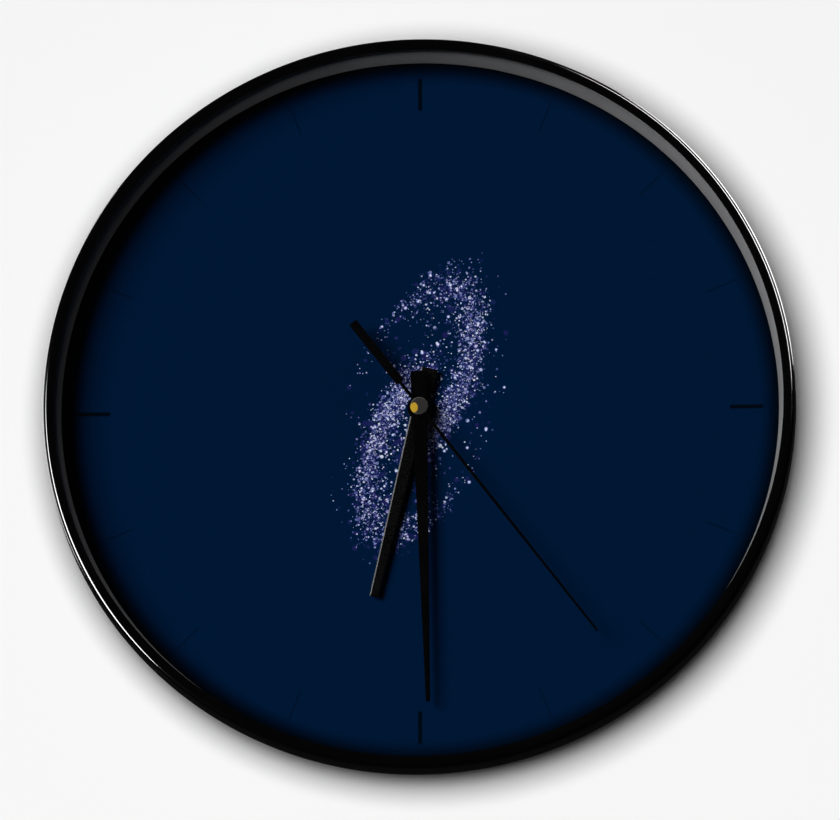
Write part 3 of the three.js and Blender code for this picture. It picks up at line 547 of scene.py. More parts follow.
def see_through(tree, shader, share):
    """Let a transparent shader take the place of this one where the share is 1."""
    clear = make(tree, "ShaderNodeBsdfTransparent").outputs[0]
    mixed = make(tree, "ShaderNodeMixShader", {0: share, 1: shader.outputs[0], 2: clear}).outputs[0]
    tree.links.new(mixed, tree.nodes["Material Output"].inputs["Surface"])


def plastic(name, dark, light, roughness, grain, depth=0.03, gloss=0.5, worn=0.0):
    """Moulded plastic between two shades, with pits of its mould and edges that go pale as they rub."""
    material, tree, shader = new_finish(name, {"Specular IOR Level": gloss})
    pits = effect(tree, GRAIN, Scale=grain)
    shade = blended(tree, pits["Shade"], colour(*dark), colour(*light))
    rub = effect(tree, RUBBED, Amount=worn)["Rub"]
    paler = colour(*(min(255, 2 * value + 40) for value in light))
    rough = ranged(tree, pits["Height"], 0.25, 0.75, roughness - 0.07, roughness + 0.07)
    normal = bumped(tree, pits["Height"], 0.4, depth)
    link(tree, shader, Base_Color=blended(tree, rub, shade, paler), Roughness=rough, Normal=normal)
    return material


def metal(name, dark, light, roughness, stretch, worn=0.3):
    """Bare or plated metal, streaked along its brushing, with rubbed edges brighter and smoother."""
    material, tree, shader = new_finish(name, {"Metallic": 1.0})
    lines = effect(tree, BRUSHED, Stretch=stretch)
    shade = blended(tree, lines["Streak"], colour(*dark), colour(*light))
    rub = effect(tree, RUBBED, Amount=worn)["Rub"]
    paler = colour(*(min(255, 1.15 * value + 20) for value in light))
    rough = spread(tree, lines["Height"], roughness - 0.08, roughness + 0.1)
    normal = bumped(tree, lines["Height"], 0.15, 0.02)
    link(tree, shader, Base_Color=blended(tree, rub, shade, paler), Roughness=rough, Normal=normal)
    return material


# %% [markdown]
# ## Front bezel
# On the real clock the bezel is one injection moulding in polished black: a straight side wall, a round
# shoulder and a lip that falls slightly towards the lens. A groove inside it snaps over the back case.
# It is a plain turned shape, so it is a lathe of its profile. The polish is not perfect: a mould flows
# unevenly, which shows as a slight waviness in the reflected lights.

# %% Bezel
LARGE_ROUND = 512  # sides of the largest lathes
LIP_RADIUS = 145.4
LIP_SLOPE = 16
LIP_EDGE = 37.3
LIP_UNDER = 35.5
CREST_RADIUS = 148.1
SHOULDER_FALL = 2.4
BEZEL_BORE = 147.6
GROOVE_REAR, GROOVE_FRONT, GROOVE_CUT = 25.2, 28.0, 0.6


def crowned(crest, end, slope):
    """An arc, level at the crest, that falls to an end radius with the slope there given in degrees."""
    swing = np.radians(np.linspace(0, slope, 9))
    bend_radius = (crest[0] - end) / math.sin(swing[-1])
    radius = crest[0] - bend_radius * np.sin(swing)
    return np.stack([radius, crest[1] - bend_radius * (1 - np.cos(swing))], axis=-1)


def polished_black():
    """Black with a high gloss, whose waviness is a bump and whose haze is a slow change in roughness."""
    material, tree, shader = new_finish("bezel_gloss", {"Specular IOR Level": 0.45})
    place = object_place(tree)
    haze = noise(tree, place, 45.0)
    specks = noise(tree, place, 1500.0, detail=2.0)
    shade = blended(tree, specks, colour(2, 2, 2), colour(4, 4, 5))
    waves = bumped(tree, noise(tree, place, 220.0, detail=1.0), 0.04, 0.1)
    rough = spread(tree, haze, 0.07, 0.13)
    link(tree, shader, Base_Color=shade, Roughness=rough, Normal=waves)
    return material


shoulder = quarter((CASE_RADIUS, bezel_span.front - SHOULDER_FALL), (CREST_RADIUS, bezel_span.front))
lip = crowned((CREST_RADIUS, bezel_span.front), LIP_RADIUS, LIP_SLOPE)[1:]
groove = [(BEZEL_BORE, GROOVE_FRONT), (BEZEL_BORE + GROOVE_CUT, GROOVE_FRONT - GROOVE_CUT),
          (BEZEL_BORE + GROOVE_CUT, GROOVE_REAR + GROOVE_CUT), (BEZEL_BORE, GROOVE_REAR)]
rear_edge = [(BEZEL_BORE, bezel_span.rear, 0.2), (CASE_RADIUS, bezel_span.rear, 0.8)]
under = [(LIP_RADIUS, LIP_UNDER, 0.25), (BEZEL_BORE, LIP_UNDER, 0)]
bezel_profile = rounded(rear_edge + sharp(shoulder) + sharp(lip) + under + sharp(groove))
bezel = put("bezel_moulding", [lathe(bezel_profile, LARGE_ROUND)], polished_black(),
            stands_for=["front_bezel"])

# %% [markdown]
# ## Lens
# A flat disc of clear acrylic lies under the lip. From the front it only shows where a lamp is mirrored
# in it. A renderer would let it block part of the light, so for shadow rays it is mixed with a
# transparent shader: light passes straight through, as it nearly does in 2 mm of acrylic. Dust that
# settled on it roughens it a little.

# %% Lens
lens_span = span("lens")


def clear_acrylic():
    """Clear and smooth with faint dust in its roughness, and let through by shadow rays."""
    even = {"Transmission Weight": 1.0, "IOR": 1.2, "Specular IOR Level": 0.3}
    material, tree, shader = new_finish("lens_clear", even)
    dust = noise(tree, object_place(tree), 30.0)
    link(tree, shader, Roughness=ranged(tree, dust, 0.35, 0.75, 0.0, 0.012))
    see_through(tree, shader, make(tree, "ShaderNodeLightPath").outputs["Is Shadow Ray"])
    return material


lens = lathe(washer(lens_span, 0, 0.3, 0), 384)
put("lens_disc", [lens], clear_acrylic(), stands_for=["lens"])

# %% [markdown]
# ## Inner ring
# A matte grey moulding spaces the lens from the dial. Its inner face leans inwards towards the dial, so
# that from the front it always shows as a narrow band which catches the light on the side away from the
# window.

# %% Inner ring
RING_FOOT, RING_TOP, RING_WAIST, RING_RIM = 142.8, 145.7, 145.5, 147.3
RING_REAR, RING_SHELF, RING_FRONT = 23.6, 29.1, 32.9
# worn pales the ring's rounded edges: partly wear, partly a painted highlight for the light line at its
# foot
ring_grey = plastic("ring_matte", (106, 106, 107), (114, 114, 115), 0.62, grain=1600, gloss=0.3, worn=0.15)
ring_profile = rounded([
    (RING_FOOT, RING_REAR, 0.25), (RING_WAIST, RING_REAR, 0.2), (RING_WAIST, RING_SHELF, 0),
    (RING_RIM, RING_SHELF, 0.2), (RING_RIM, RING_FRONT, 0.2), (RING_TOP, RING_FRONT, 0.2)])
ring = put("ring_moulding", [lathe(ring_profile, LARGE_ROUND)], ring_grey,
           stands_for=["inner_ring"])

# %% [markdown]
# ## Dial
# The dial is a disc of board with a printed paper face. Its navy is a solid print, so up close it has a
# fine grain of ink, and a matte varnish that keeps it from mirroring the lamps. Towards its rim the navy
# is painted nearly black: painted shade, where the ring and bezel would shade it.

# %% Dial
dial_span = span("dial")
DIAL_BORE = 4.3
# painted shade: between these radii the navy darkens to near black, where the ring and bezel shade it
PAINTED_SHADE_START, PAINTED_SHADE_END = 134.0, 143.5
INK_GRAIN = 2600.0


def printed_navy():
    """Navy ink with a fine grain, painted shade towards the rim, and the paper's tooth as a bump."""
    material, tree, shader = new_finish("dial_navy", {"Specular IOR Level": 0.03})
    place = object_place(tree)
    ink = noise(tree, place, INK_GRAIN)
    tooth = noise(tree, place, 900.0, detail=2.0)
    navy = blended(tree, spread(tree, ink), colour(0, 24, 53), colour(0, 28, 61))
    centre = Vector((0, -dial_span.front * MM, HAND_AXIS.z))
    radius = make(tree, "ShaderNodeVectorMath", {0: place, 1: centre}, operation="DISTANCE")
    # painted shade: the dial goes dark towards its rim
    painted_shade = ranged(tree, radius.outputs["Value"], PAINTED_SHADE_START * MM, PAINTED_SHADE_END * MM)
    shade = blended(tree, painted_shade, navy, colour(0, 5, 12))
    rough = spread(tree, tooth, 0.5, 0.62)
    link(tree, shader, Base_Color=shade, Roughness=rough, Normal=bumped(tree, tooth, 0.15, 0.02))
    return material


dial = lathe(washer(dial_span, DIAL_BORE, 0.1, 0.05), 256)
put("dial_disc", [dial], printed_navy(), stands_for=["dial"])

# %% [markdown]
# ## Marks
# Sixteen marks stand round the dial: a bold one at each quarter and three fine ones between each two.
# They are ink on ink, so each is a pad of paint two hundredths of a millimetre thick, which is enough to
# lie on the paper.

# %% Marks
INK = 0.02
MARK_COUNT = 16
MARK_START, MARK_END = 123.4, 136.6
QUARTER_HALF, FINE_HALF = 0.8, 0.22


def mark(number, half_width):
    """The outline of one mark, a narrow rectangle along a radius."""
    across = np.array([-half_width, half_width, half_width, -half_width])
    outward = np.array([MARK_START, MARK_START, MARK_END, MARK_END])
    return turned(np.stack([across, outward], axis=-1), 360 * number / MARK_COUNT)


def mark_ink(name, dark, light):
    """Dark ink with the same grain as the dial's."""
    material, tree, shader = new_finish(name, {"Specular IOR Level": 0.2, "Roughness": 0.5})
    ink = spread(tree, noise(tree, object_place(tree), INK_GRAIN))
    link(tree, shader, Base_Color=blended(tree, ink, colour(*dark), colour(*light)))
    return material


def marks(numbers, half_width):
    """Pads of ink for the marks with these numbers."""
    outlines = [mark(number, half_width) for number in numbers]
    return [stamping(outline, dial_span.front, dial_span.front + INK) for outline in outlines]


quarters = range(0, MARK_COUNT, 4)
between = [number for number in range(MARK_COUNT) if number % 4]
quarter_ink = mark_ink("quarter_ink", (0, 6, 16), (0, 9, 22))
fine_ink = mark_ink("fine_ink", (0, 15, 36), (0, 18, 41))
put("quarter_marks", marks(quarters, QUARTER_HALF), quarter_ink)
put("fine_marks", marks(between, FINE_HALF), fine_ink)

# %% [markdown]
# ## The printed swirl
# The middle of the dial is printed with a swirl of stars in sparkling white, lavender and pale blue: two
# arms wound round a bright middle, flattened and tilted. Each star is a six-sided pad of ink. The arms
# come from one formula on whole arrays: the farther out a star lies, the farther its arm has wound.

# %% Swirl
SWIRL_REACH = 71.0
SWIRL_FLATTENING = 0.43
SWIRL_TILT = 68
SWIRL_WINDING = 4.4
STAR_COUNT = 8000
HAZE_COUNT = 700
GLOW_COUNT = 130
PAD_SIDES = 6
HUB_CLEAR = 6  # radius without stars, under the eyes of the hands


def swirl_places(count, dice):
    """Places on two arms: angle = arm x half a turn + winding x reach + scatter, reach from 0 to 1."""
    reach = dice.beta(1.25, 1.7, count)
    arm = dice.integers(0, 2, count) * np.pi
    scatter = dice.normal(0, 0.5, count) * (1.25 - 0.7 * reach)
    stray = dice.uniform(0, 1, count) < 0.12
    scatter[stray] = dice.uniform(-1.6, 1.6, stray.sum())
    angle = arm + SWIRL_WINDING * reach + scatter
    radius = SWIRL_REACH * (reach + dice.normal(0, 0.02, count))
    flat = np.stack([radius * np.cos(angle), SWIRL_FLATTENING * radius * np.sin(angle)], axis=-1)
    return turned(flat, -SWIRL_TILT), reach


def pads(places, radius, top):
    """Closed six-sided pads of ink from the dial's face up to top, all in one shell."""
    count = len(places)
    flat = places[:, None] + radius[:, None, None] * round_points(whole_turn(PAD_SIDES))
    low = np.full((count, PAD_SIDES), dial_span.front)
    high = np.broadcast_to(np.reshape(top, (-1, 1)), (count, PAD_SIDES))
    levels = [np.stack([flat[..., 0], depth, flat[..., 1]], axis=-1) for depth in (low, high)]
    points = np.stack(levels, axis=1).reshape(-1, 3)
    rim = np.arange(count * 2 * PAD_SIDES).reshape(count, 2, PAD_SIDES)
    ahead = np.roll(rim, -1, axis=2)
    walls = np.stack([rim[:, 0], ahead[:, 0], ahead[:, 1], rim[:, 1]], axis=-1).reshape(-1, 4)
    return Shell(points, [walls, rim[:, 0, ::-1], rim[:, 1]], np.zeros(len(points)))


def star_ink():
    """Ink whose brightness and tint are the star's own: from deep blue through lavender to white."""
    material, tree, shader = new_finish("star_ink", {"Specular IOR Level": 0.06, "Roughness": 0.55})
    tint = attribute(tree, "tint")
    grain = spread(tree, noise(tree, object_place(tree), 3000.0), 0.85, 1.0)
    deep = blended(tree, tint, colour(28, 30, 84), colour(20, 36, 86))
    middle = blended(tree, tint, colour(116, 112, 186), colour(96, 118, 184))
    pale = blended(tree, tint, colour(236, 234, 255), colour(220, 233, 255))
    share = sums(tree, "MULTIPLY", attribute(tree, "bright"), grain)
    dim = blended(tree, ranged(tree, share, 0.0, 0.5), deep, middle)
    link(tree, shader, Base_Color=blended(tree, ranged(tree, share, 0.4, 1.0), dim, pale))
    return material


dice = np.random.default_rng(16)
places, reach = swirl_places(HAZE_COUNT + GLOW_COUNT + STAR_COUNT, dice)
haze = slice(0, HAZE_COUNT)
glows = slice(HAZE_COUNT, HAZE_COUNT + GLOW_COUNT)
radii = np.clip(0.25 * np.exp(dice.normal(0, 0.42, len(places))), 0.12, 0.8)
radii[haze] = dice.uniform(0.7, 1.6, HAZE_COUNT) * (1.2 - 0.5 * reach[haze])
radii[glows] = dice.uniform(0.6, 1.0, GLOW_COUNT)
brightness = dice.uniform(0, 1, len(places)) ** 1.6 * (1.15 - 0.35 * reach)
brightness[haze] = 0
brightness[glows] = dice.uniform(0.3, 0.5, GLOW_COUNT)
places = np.vstack([places, places[glows]])
radii = np.append(radii, 0.55 * radii[glows])
brightness = np.clip(np.append(brightness, np.ones(GLOW_COUNT)), 0, 1)
tints = dice.uniform(0, 1, len(places))
rank = np.argsort(np.argsort(-radii)) / len(radii)
tops = dial_span.front + INK * (0.3 + 0.7 * rank)
shown = np.hypot(places[:, 0], places[:, 1]) > HUB_CLEAR
stars = pads(places[shown], radii[shown], tops[shown])
star_values = {"bright": brightness, "tint": tints}
star_marks = {name: np.repeat(values[shown], 2 * PAD_SIDES) for name, values in star_values.items()}
put("swirl_stars", [stars], star_ink(), marks=star_marks)

# %% [markdown]
# ## Hands
# The hands are stamped from thin aluminium and painted black. The hour and minute hands are tapered bars
# with a round eye pressed on a tube, and their front edges are struck with a narrow facet, which catches
# a lamp beside the flat black. The second hand is a fine needle with a broad bar for a tail.

# %% Hands
HAND_EDGE = 0.12
HAND_FACET = (0.45, 0.2)
EYE_RADIUS, SECOND_EYE_RADIUS = 4.9, 3.25
HOUR_ANGLE, MINUTE_ANGLE, SECOND_ANGLE = 193.4, 178.4, 142.7
hand_paint = plastic("hand_black", (2, 2, 3), (5, 5, 6), 0.27, grain=1800, depth=0.008,
                     gloss=0.3, worn=0.04)


def hand_outline(halves, heights, eye):
    """A hand that points at twelve: straight sides through (half width, height) corners, and a round eye.

    The sides meet the eye where height squared + half squared = eye squared, which four rounds settle."""
    halves, heights = np.array(halves), np.array(heights)
    meet = np.array([-eye, eye])
    for _ in range(4):
        meet = np.sign(meet) * np.sqrt(eye ** 2 - np.interp(meet, heights, halves) ** 2)
    low, high = np.degrees(np.arctan2(meet, np.interp(meet, heights, halves)))
    sides = np.stack([halves, heights], axis=-1)
    right = np.vstack([sides[heights < meet[0]], arc(eye, low, high, 20), sides[heights > meet[1]]])
    return np.vstack([right, right[::-1] * [-1, 1]])


def put_hand(name, node, body, outline, degrees, bore, facet=None):
    """Turn an outline to its time and stamp it between its node's depths."""
    where = span(node)
    hole = [circle(bore, sides=40)]
    shell = stamping(turned(outline, degrees), where.rear, where.front, HAND_EDGE, hole, facet=facet)
    return put(name, [shell], hand_paint, body, [node], crease=18 if facet else 50)


hour_outline = hand_outline([3.4, 1.75], [-17.2, 79], EYE_RADIUS)
minute_outline = hand_outline([3.3, 0.875], [-15.2, 120.6], EYE_RADIUS)
second_heights = [-43.8, -12.5, -12.499, 0, 117]
second_outline = hand_outline([1.8, 1.8, 0.7, 0.7, 0.45], second_heights, SECOND_EYE_RADIUS)
hour_blade = put_hand("hour_blade", "hour_hand", "hour", hour_outline, HOUR_ANGLE, 2.6, HAND_FACET)
put_hand("minute_blade", "minute_hand", "minute", minute_outline, MINUTE_ANGLE, 1.65, HAND_FACET)
put_hand("second_needle", "second_hand", "seconds", second_outline, SECOND_ANGLE, 1.25)

# %% [markdown]
# ## Cap
# A small turned cap closes the hub and carries the second hand. It is dark gunmetal, and on one side a
# patch of brass colour is painted on it: a painted glint that stands for a warm reflection. Fine rings
# from the lathe run round it.

# %% Cap
cap_span = span("second_hand_cap")
CAP_RADIUS, CAP_HEIGHT, CAP_BEVEL = 3.6, 0.9, 0.35
STEM_RADIUS, STEM_BORE = 1.2, 0.55


def from_axis(tree):
    """Where a point lies from the hand axis, in metres, as the three sockets of a Separate XYZ node."""
    values = {0: object_place(tree), 1: HAND_AXIS}
    return split(tree, make(tree, "ShaderNodeVectorMath", values, operation="SUBTRACT").outputs[0])


def square_sum(tree, a, b):
    """The sum of two squares."""
    return sums(tree, "MULTIPLY_ADD", a, a, sums(tree, "MULTIPLY", b, b))


def gunmetal():
    """Dark turned metal with rings, a paler rim and a painted glint in brass colour inside an ellipse."""
    material, tree, shader = new_finish("cap_gunmetal")
    axis = from_axis(tree)
    radius = sums(tree, "SQRT", square_sum(tree, axis["X"], axis["Z"]))
    rings = sums(tree, "SINE", sums(tree, "MULTIPLY", radius, 26000.0))
    # painted glint: an ellipse left of the axis takes a brass colour, for a warm reflection
    across = sums(tree, "DIVIDE", sums(tree, "ADD", axis["X"], 2.1 * MM), 1.5 * MM)
    upward = sums(tree, "DIVIDE", sums(tree, "ADD", axis["Z"], 0.8 * MM), 2.05 * MM)
    uneven = ranged(tree, noise(tree, object_place(tree), 900.0), 0.2, 0.8, -0.2, 0.2)
    painted_glint = ranged(tree, sums(tree, "ADD", square_sum(tree, across, upward), uneven), 1.15, 0.85)
    rub = effect(tree, RUBBED, Amount=0.8)["Rub"]
    dark = blended(tree, ranged(tree, rings, -1.0, 1.0), colour(52, 51, 50), colour(68, 66, 64))
    worn = blended(tree, rub, dark, colour(150, 148, 144))
    # painted glint: brass colour inside the ellipse
    base = blended(tree, painted_glint, worn, colour(214, 172, 52))
    rough = ranged(tree, rings, -1.0, 1.0, 0.38, 0.5)
    link(tree, shader, Base_Color=base, Metallic=ranged(tree, painted_glint, 0.0, 1.0, 0.35, 0.15))
    link(tree, shader, Roughness=rough, Normal=bumped(tree, rings, 0.1, 0.02))
    return material


cap_rear = cap_span.front - CAP_HEIGHT
cap_profile = rounded([
    (0, cap_rear, 0), (STEM_BORE, cap_rear, 0), (STEM_BORE, cap_span.rear, 0.05),
    (STEM_RADIUS, cap_span.rear, 0.1), (STEM_RADIUS, cap_rear, 0), (CAP_RADIUS, cap_rear, 0.08),
    (CAP_RADIUS, cap_span.front - CAP_BEVEL, 0.15), (CAP_RADIUS - CAP_BEVEL, cap_span.front, 0.15),
    (0, cap_span.front, 0)])
put("hub_cap", [lathe(cap_profile, 96)], gunmetal(), "seconds", ["second_hand_cap"])

# %% [markdown]
# ## Back case
# Behind the dial lies one large matte moulding: a floor, a skirt that runs back to the wall, a collar
# that snaps into the bezel, eight ribs against warping, two screw posts and four hooks that hold the
# movement. The round parts are lathes, the ribs are stampings stood on edge, and each hook is its side
# view given a width.

# %% Back case
FLOOR_REAR = 19.8
SUNK = 0.3
RIB_COUNT = 8
RIB_START, RIB_END, RIB_HEIGHT, RIB_HALF = 48.0, 138.0, 4.0, 0.8
HOOK_INNER, HOOK_OUTER, HOOK_REAR, HOOK_HALF, HOOK_PLACE = 28.3, 30.3, 1.5, 4, 14
POST_X, POST_HEIGHT, POST_REAR, POST_RADIUS, POST_BORE = 17.0, 90.0, 3.7, 3.5, 1.25
COLLAR = 147.3
case_plastic = plastic("case_matte", (27, 27, 28), (31, 31, 32), 0.58, grain=1500, depth=0.05,
                       gloss=0.35, worn=0.25)
skirt = [(140.8, 0, 0.5), (143.0, 0, 0.5), (148.6, 21.5, 0.6), (148.6, 24.2, 0.4), (COLLAR, 24.2, 0)]
bead = [(COLLAR, 25.5, 0), (147.9, 26.1, 0.2), (147.9, 27.1, 0.2), (COLLAR, 27.7, 0)]
collar = [(COLLAR, 28.8, 0.3), (145.8, 28.8, 0.3), (145.8, 22.0, 0)]
floor = [(DIAL_BORE, 22.0, 0.2), (DIAL_BORE, FLOOR_REAR, 0.2), (146.4, FLOOR_REAR, 0.8)]
case_profile = rounded(skirt + bead + collar + floor)


def rib(number):
    """A rib stood on the floor along a radius: its side view of (distance out, depth), then turned."""
    side = oblong(RIB_START, RIB_END, FLOOR_REAR - RIB_HEIGHT, FLOOR_REAR + SUNK, 0.2)
    upright = swapped(stamping(side, -RIB_HALF, RIB_HALF, 0.25), [0, 2, 1])
    x, depth, height = upright.points.T
    out = turned(np.stack([x, height], axis=-1), 360 * (number + 0.5) / RIB_COUNT)
    return upright._replace(points=np.stack([out[:, 0], depth, out[:, 1]], axis=-1))


def hook(side, middle):
    """A snap hook beside the movement: a post with a lip over it, sloped so that it clicks in."""
    view = rounded([
        (HOOK_INNER, FLOOR_REAR + SUNK, 0), (HOOK_INNER, 2.7, 0.1), (26.8, 2.7, 0.15), (26.8, 2.3, 0.15),
        (28.0, HOOK_REAR, 0.2), (HOOK_OUTER, HOOK_REAR, 0.4), (HOOK_OUTER, FLOOR_REAR + SUNK, 0)])
    return swapped(stamping(view * [side, 1], middle - HOOK_HALF, middle + HOOK_HALF, 0.2), [0, 2, 1])


def post(x):
    """A screw post with a blind hole, standing on the floor."""
    profile = rounded([
        (0, 11.5, 0), (POST_BORE, 11.5, 0.1), (POST_BORE, POST_REAR, 0.15), (POST_RADIUS, POST_REAR, 0.4),
        (POST_RADIUS, FLOOR_REAR + SUNK, 0), (0, FLOOR_REAR + SUNK, 0)])
    return lathe(profile, 48, (x, POST_HEIGHT))


case_shells = [lathe(case_profile, LARGE_ROUND)]
case_shells += [rib(number) for number in range(RIB_COUNT)]
case_shells += [hook(side, middle) for side in (-1, 1) for middle in (-HOOK_PLACE, HOOK_PLACE)]
case_shells += [post(x) for x in (-POST_X, POST_X)]
put("case_moulding", case_shells, case_plastic, stands_for=["back_case"])

# %% [markdown]
# ## Hanger
# A stamped plate of zinc-plated steel hangs the clock: the nail's head goes in by the round hole and its
# shank slides up into the slot. Stamping rounds the edges and rolling leaves long fine lines. Two
# slotted screws hold it.

# %% Hanger plate and screws
plate_span = span("hanger_plate")
PLATE_FILLET, SCREW_HOLE = 3.0, 1.55
SLOT_HALF, SLOT_TOP = 2.2, 95.8
ENTRY_RADIUS, ENTRY_HEIGHT = 5.0, 87.0
zinc = metal("zinc_steel", (150, 152, 156), (188, 190, 193), 0.34, stretch=(60.0, 900.0, 3500.0))


def keyhole():
    """The hole's outline: round the entry from where the slot leaves it, up the slot and round its end."""
    leave = math.degrees(math.acos(SLOT_HALF / ENTRY_RADIUS))
    entry = arc(ENTRY_RADIUS, 180 - leave, 360 + leave, 48, (0, ENTRY_HEIGHT))
    return np.vstack([entry, arc(SLOT_HALF, 0, 180, 24, (0, SLOT_TOP))])


plate_sides = (plate_span.left, plate_span.right, plate_span.bottom, plate_span.top)
plate_outline = oblong(*plate_sides, PLATE_FILLET)
plate_holes = [keyhole()] + [circle(SCREW_HOLE, (x, POST_HEIGHT), 32) for x in (-POST_X, POST_X)]
plate = stamping(plate_outline, plate_span.rear, plate_span.front, 0.2, plate_holes)
put("hanger_stamping", [plate], zinc, stands_for=["hanger_plate"])
for side in ("left", "right"):
    softened(f"slotted_screw_{side}", f"hanger_screw_{side}", 0.18, zinc)

# %% [markdown]
# ## Movement case
# The movement is a small black box in two halves that clip together, with the battery bay open at the
# back. The box is kept in the frame's own shape and gets the rounded edges of a moulding. Raised marks
# on the cover show where the battery's ends go and which way the knob turns.

# %% Movement case and its raised marks
movement_plastic = plastic("movement_plastic", (22, 22, 23), (27, 27, 28), 0.45, grain=2200,
                           gloss=0.4, worn=0.3)
cover_span = span("movement_cover")
knob_place = JOINT_PLACES["setting_knob_turn"]
KNOB_CENTRE = (knob_place.x / MM, (knob_place.z - HAND_AXIS.z) / MM)
SIGN_HEIGHT, SIGN_HALF = -9.0, 0.3
for half in ("base", "cover"):
    softened(f"{half}_moulding", f"movement_{half}", 0.3, movement_plastic)


def raised(outline, holes=(), rise=0.25):
    """A mark that stands a little out of the cover's rear face and is sunk a little into it."""
    return stamping(outline, cover_span.rear - rise, cover_span.rear + 0.1, 0.06, holes)


def arrow(start, end):
    """A curved arrow round the knob, between two angles; its head points towards the end."""
    tip = end + (22 if end > start else -22)
    outer = arc(8.6, start, end, 20, KNOB_CENTRE)
    inner = arc(8.0, end, start, 20, KNOB_CENTRE)
    head = ((9.4, end), (8.3, tip), (7.2, end))
    corners = [arc(radius, angle, angle, 0, KNOB_CENTRE) for radius, angle in head]
    return np.vstack([outer, *corners, inner])


def plus(x, height, reach=1.6, half=SIGN_HALF):
    """A plus sign as one outline of twelve corners."""
    arm = np.array([(half, half), (half, reach), (-half, reach)])
    arms = [turned(arm, -90 * quarter_turn) for quarter_turn in range(4)]
    return np.vstack(arms) + np.array([x, height])


cover_marks = [
    raised(circle(7.1, KNOB_CENTRE, 72), [circle(6.6, KNOB_CENTRE, 72)]),
    raised(arrow(35, 80)),
    raised(arrow(145, 100)),
    raised(plus(24.5, SIGN_HEIGHT)),
    raised(oblong(-26.1, -22.9, SIGN_HEIGHT - SIGN_HALF, SIGN_HEIGHT + SIGN_HALF, 0.1)),
]
put("cover_marks", cover_marks, movement_plastic)

# %% [markdown]
# ## Knob
# Behind the movement a small knurled disc sets the hands. Its rim is a cosine of the angle, so that it
# has the soft flutes of a moulded knob, and the end of its arbor shows in the middle.

# %% Knob
knob_span = span("setting_knob")


def knurled(radius, depth, flutes, sides):
    """A circle with flutes: its radius falls by depth (1 - cos(flutes x angle)) / 2."""
    angle = whole_turn(sides)
    wave = radius - depth * (1 - np.cos(flutes * angle)) / 2
    return np.array(KNOB_CENTRE) + wave[:, None] * round_points(angle)


knob_plastic = plastic("knob_grey", (62, 62, 64), (70, 70, 72), 0.5, grain=2000, worn=0.4)
knob_bore = [circle(1.56, KNOB_CENTRE, 40)]
knob = stamping(knurled(6.0, 0.4, 24, 288), knob_span.rear, knob_span.front, 0.25, knob_bore)
put("knob_moulding", [knob], knob_plastic, "setting", ["setting_knob"])

# %% [markdown]
# ## Battery and contacts
# The battery is a steel can in a printed sleeve that is shrunk over both ends, plain slate with a pale
# band at the positive end. One contact is a flat strip with a dimple, and the other is a strip with a
# conical spring, which nests nearly flat when the battery presses on it.

# %% Battery
battery_span = span("battery")
BATTERY_RADIUS = (battery_span.top - battery_span.bottom) / 2
BATTERY_DEPTH = (battery_span.rear + battery_span.front) / 2
BATTERY_HEIGHT = (battery_span.top + battery_span.bottom) / 2
NUB = 1.3


def along_x(profile, sides):
    """A lathe laid along x, through the battery's middle; the profile is (radius, x)."""
    return swapped(lathe(profile, sides), [1, 0, 2], (0, BATTERY_DEPTH, BATTERY_HEIGHT))


def printed_sleeve():
    """Shrunk film in slate, with a pale band at the positive end, a thin line and scuffed roughness."""
    even = {"Metallic": 0.25, "Coat Weight": 0.3, "Coat Roughness": 0.15}
    material, tree, shader = new_finish("battery_sleeve", even)
    place = object_place(tree)
    x = split(tree, place)["X"]
    band = ranged(tree, x, 13.9 * MM, 14.1 * MM)
    line_start = ranged(tree, x, 12.4 * MM, 12.5 * MM)
    line = sums(tree, "MULTIPLY", line_start, ranged(tree, x, 13.1 * MM, 13.0 * MM))
    scuffs = noise(tree, place, 300.0)
    slate = blended(tree, scuffs, colour(48, 56, 66), colour(58, 66, 76))
    pale = blended(tree, scuffs, colour(178, 180, 178), colour(196, 197, 194))
    shade = blended(tree, sums(tree, "MAXIMUM", band, line), slate, pale)
    link(tree, shader, Base_Color=shade, Roughness=spread(tree, scuffs, 0.28, 0.45))
    return material


foot, tip = battery_span.left, battery_span.right
crown = tip - NUB
can_profile = rounded([
    (0, foot + 0.3, 0), (4.5, foot + 0.3, 0.1), (4.8, foot, 0.1), (6.2, foot, 0.4), (7.0, foot + 0.5, 0.5),
    (7.0, crown - 0.4, 0.5), (6.0, crown - 0.1, 0.3), (5.0, crown - 0.1, 0.1), (4.6, crown - 0.5, 0.2),
    (3.2, crown - 0.5, 0.2), (2.7, crown, 0.2), (2.7, tip, 0.5), (0, tip, 0)])
sleeve_profile = rounded([
    (6.1, foot + 0.12, 0.05), (BATTERY_RADIUS, foot + 0.12, 0.7), (BATTERY_RADIUS, crown, 0.7),
    (6.1, crown, 0.05), (6.1, crown - 0.15, 0), (7.05, crown - 0.2, 0.5), (7.05, foot + 0.3, 0.5),
    (6.1, foot + 0.3, 0)])
can_lines = (200.0, 2500.0, 2500.0)
steel_can = metal("battery_can", (158, 158, 156), (190, 190, 188), 0.28, stretch=can_lines)
put("battery_steel", [along_x(can_profile, 96)], steel_can, "battery", ["battery"])
put("battery_film", [along_x(sleeve_profile, 128)], printed_sleeve(), "battery", ["battery"])

# %% Contacts
STRIP = 0.4  # thickness of the contacts
PRESSED = 0.08  # gap between the battery and its contact


def strip(node):
    """The flat strip of a contact, drawn as (depth, height) and given its thickness along x."""
    where = span(node)
    outline = oblong(where.rear, where.front, where.bottom, where.top, 0.8)
    inner = abs(where.right) < abs(where.left)
    start = where.left if inner else where.right - STRIP
    return swapped(stamping(outline, start, start + STRIP, 0.08), [1, 0, 2])


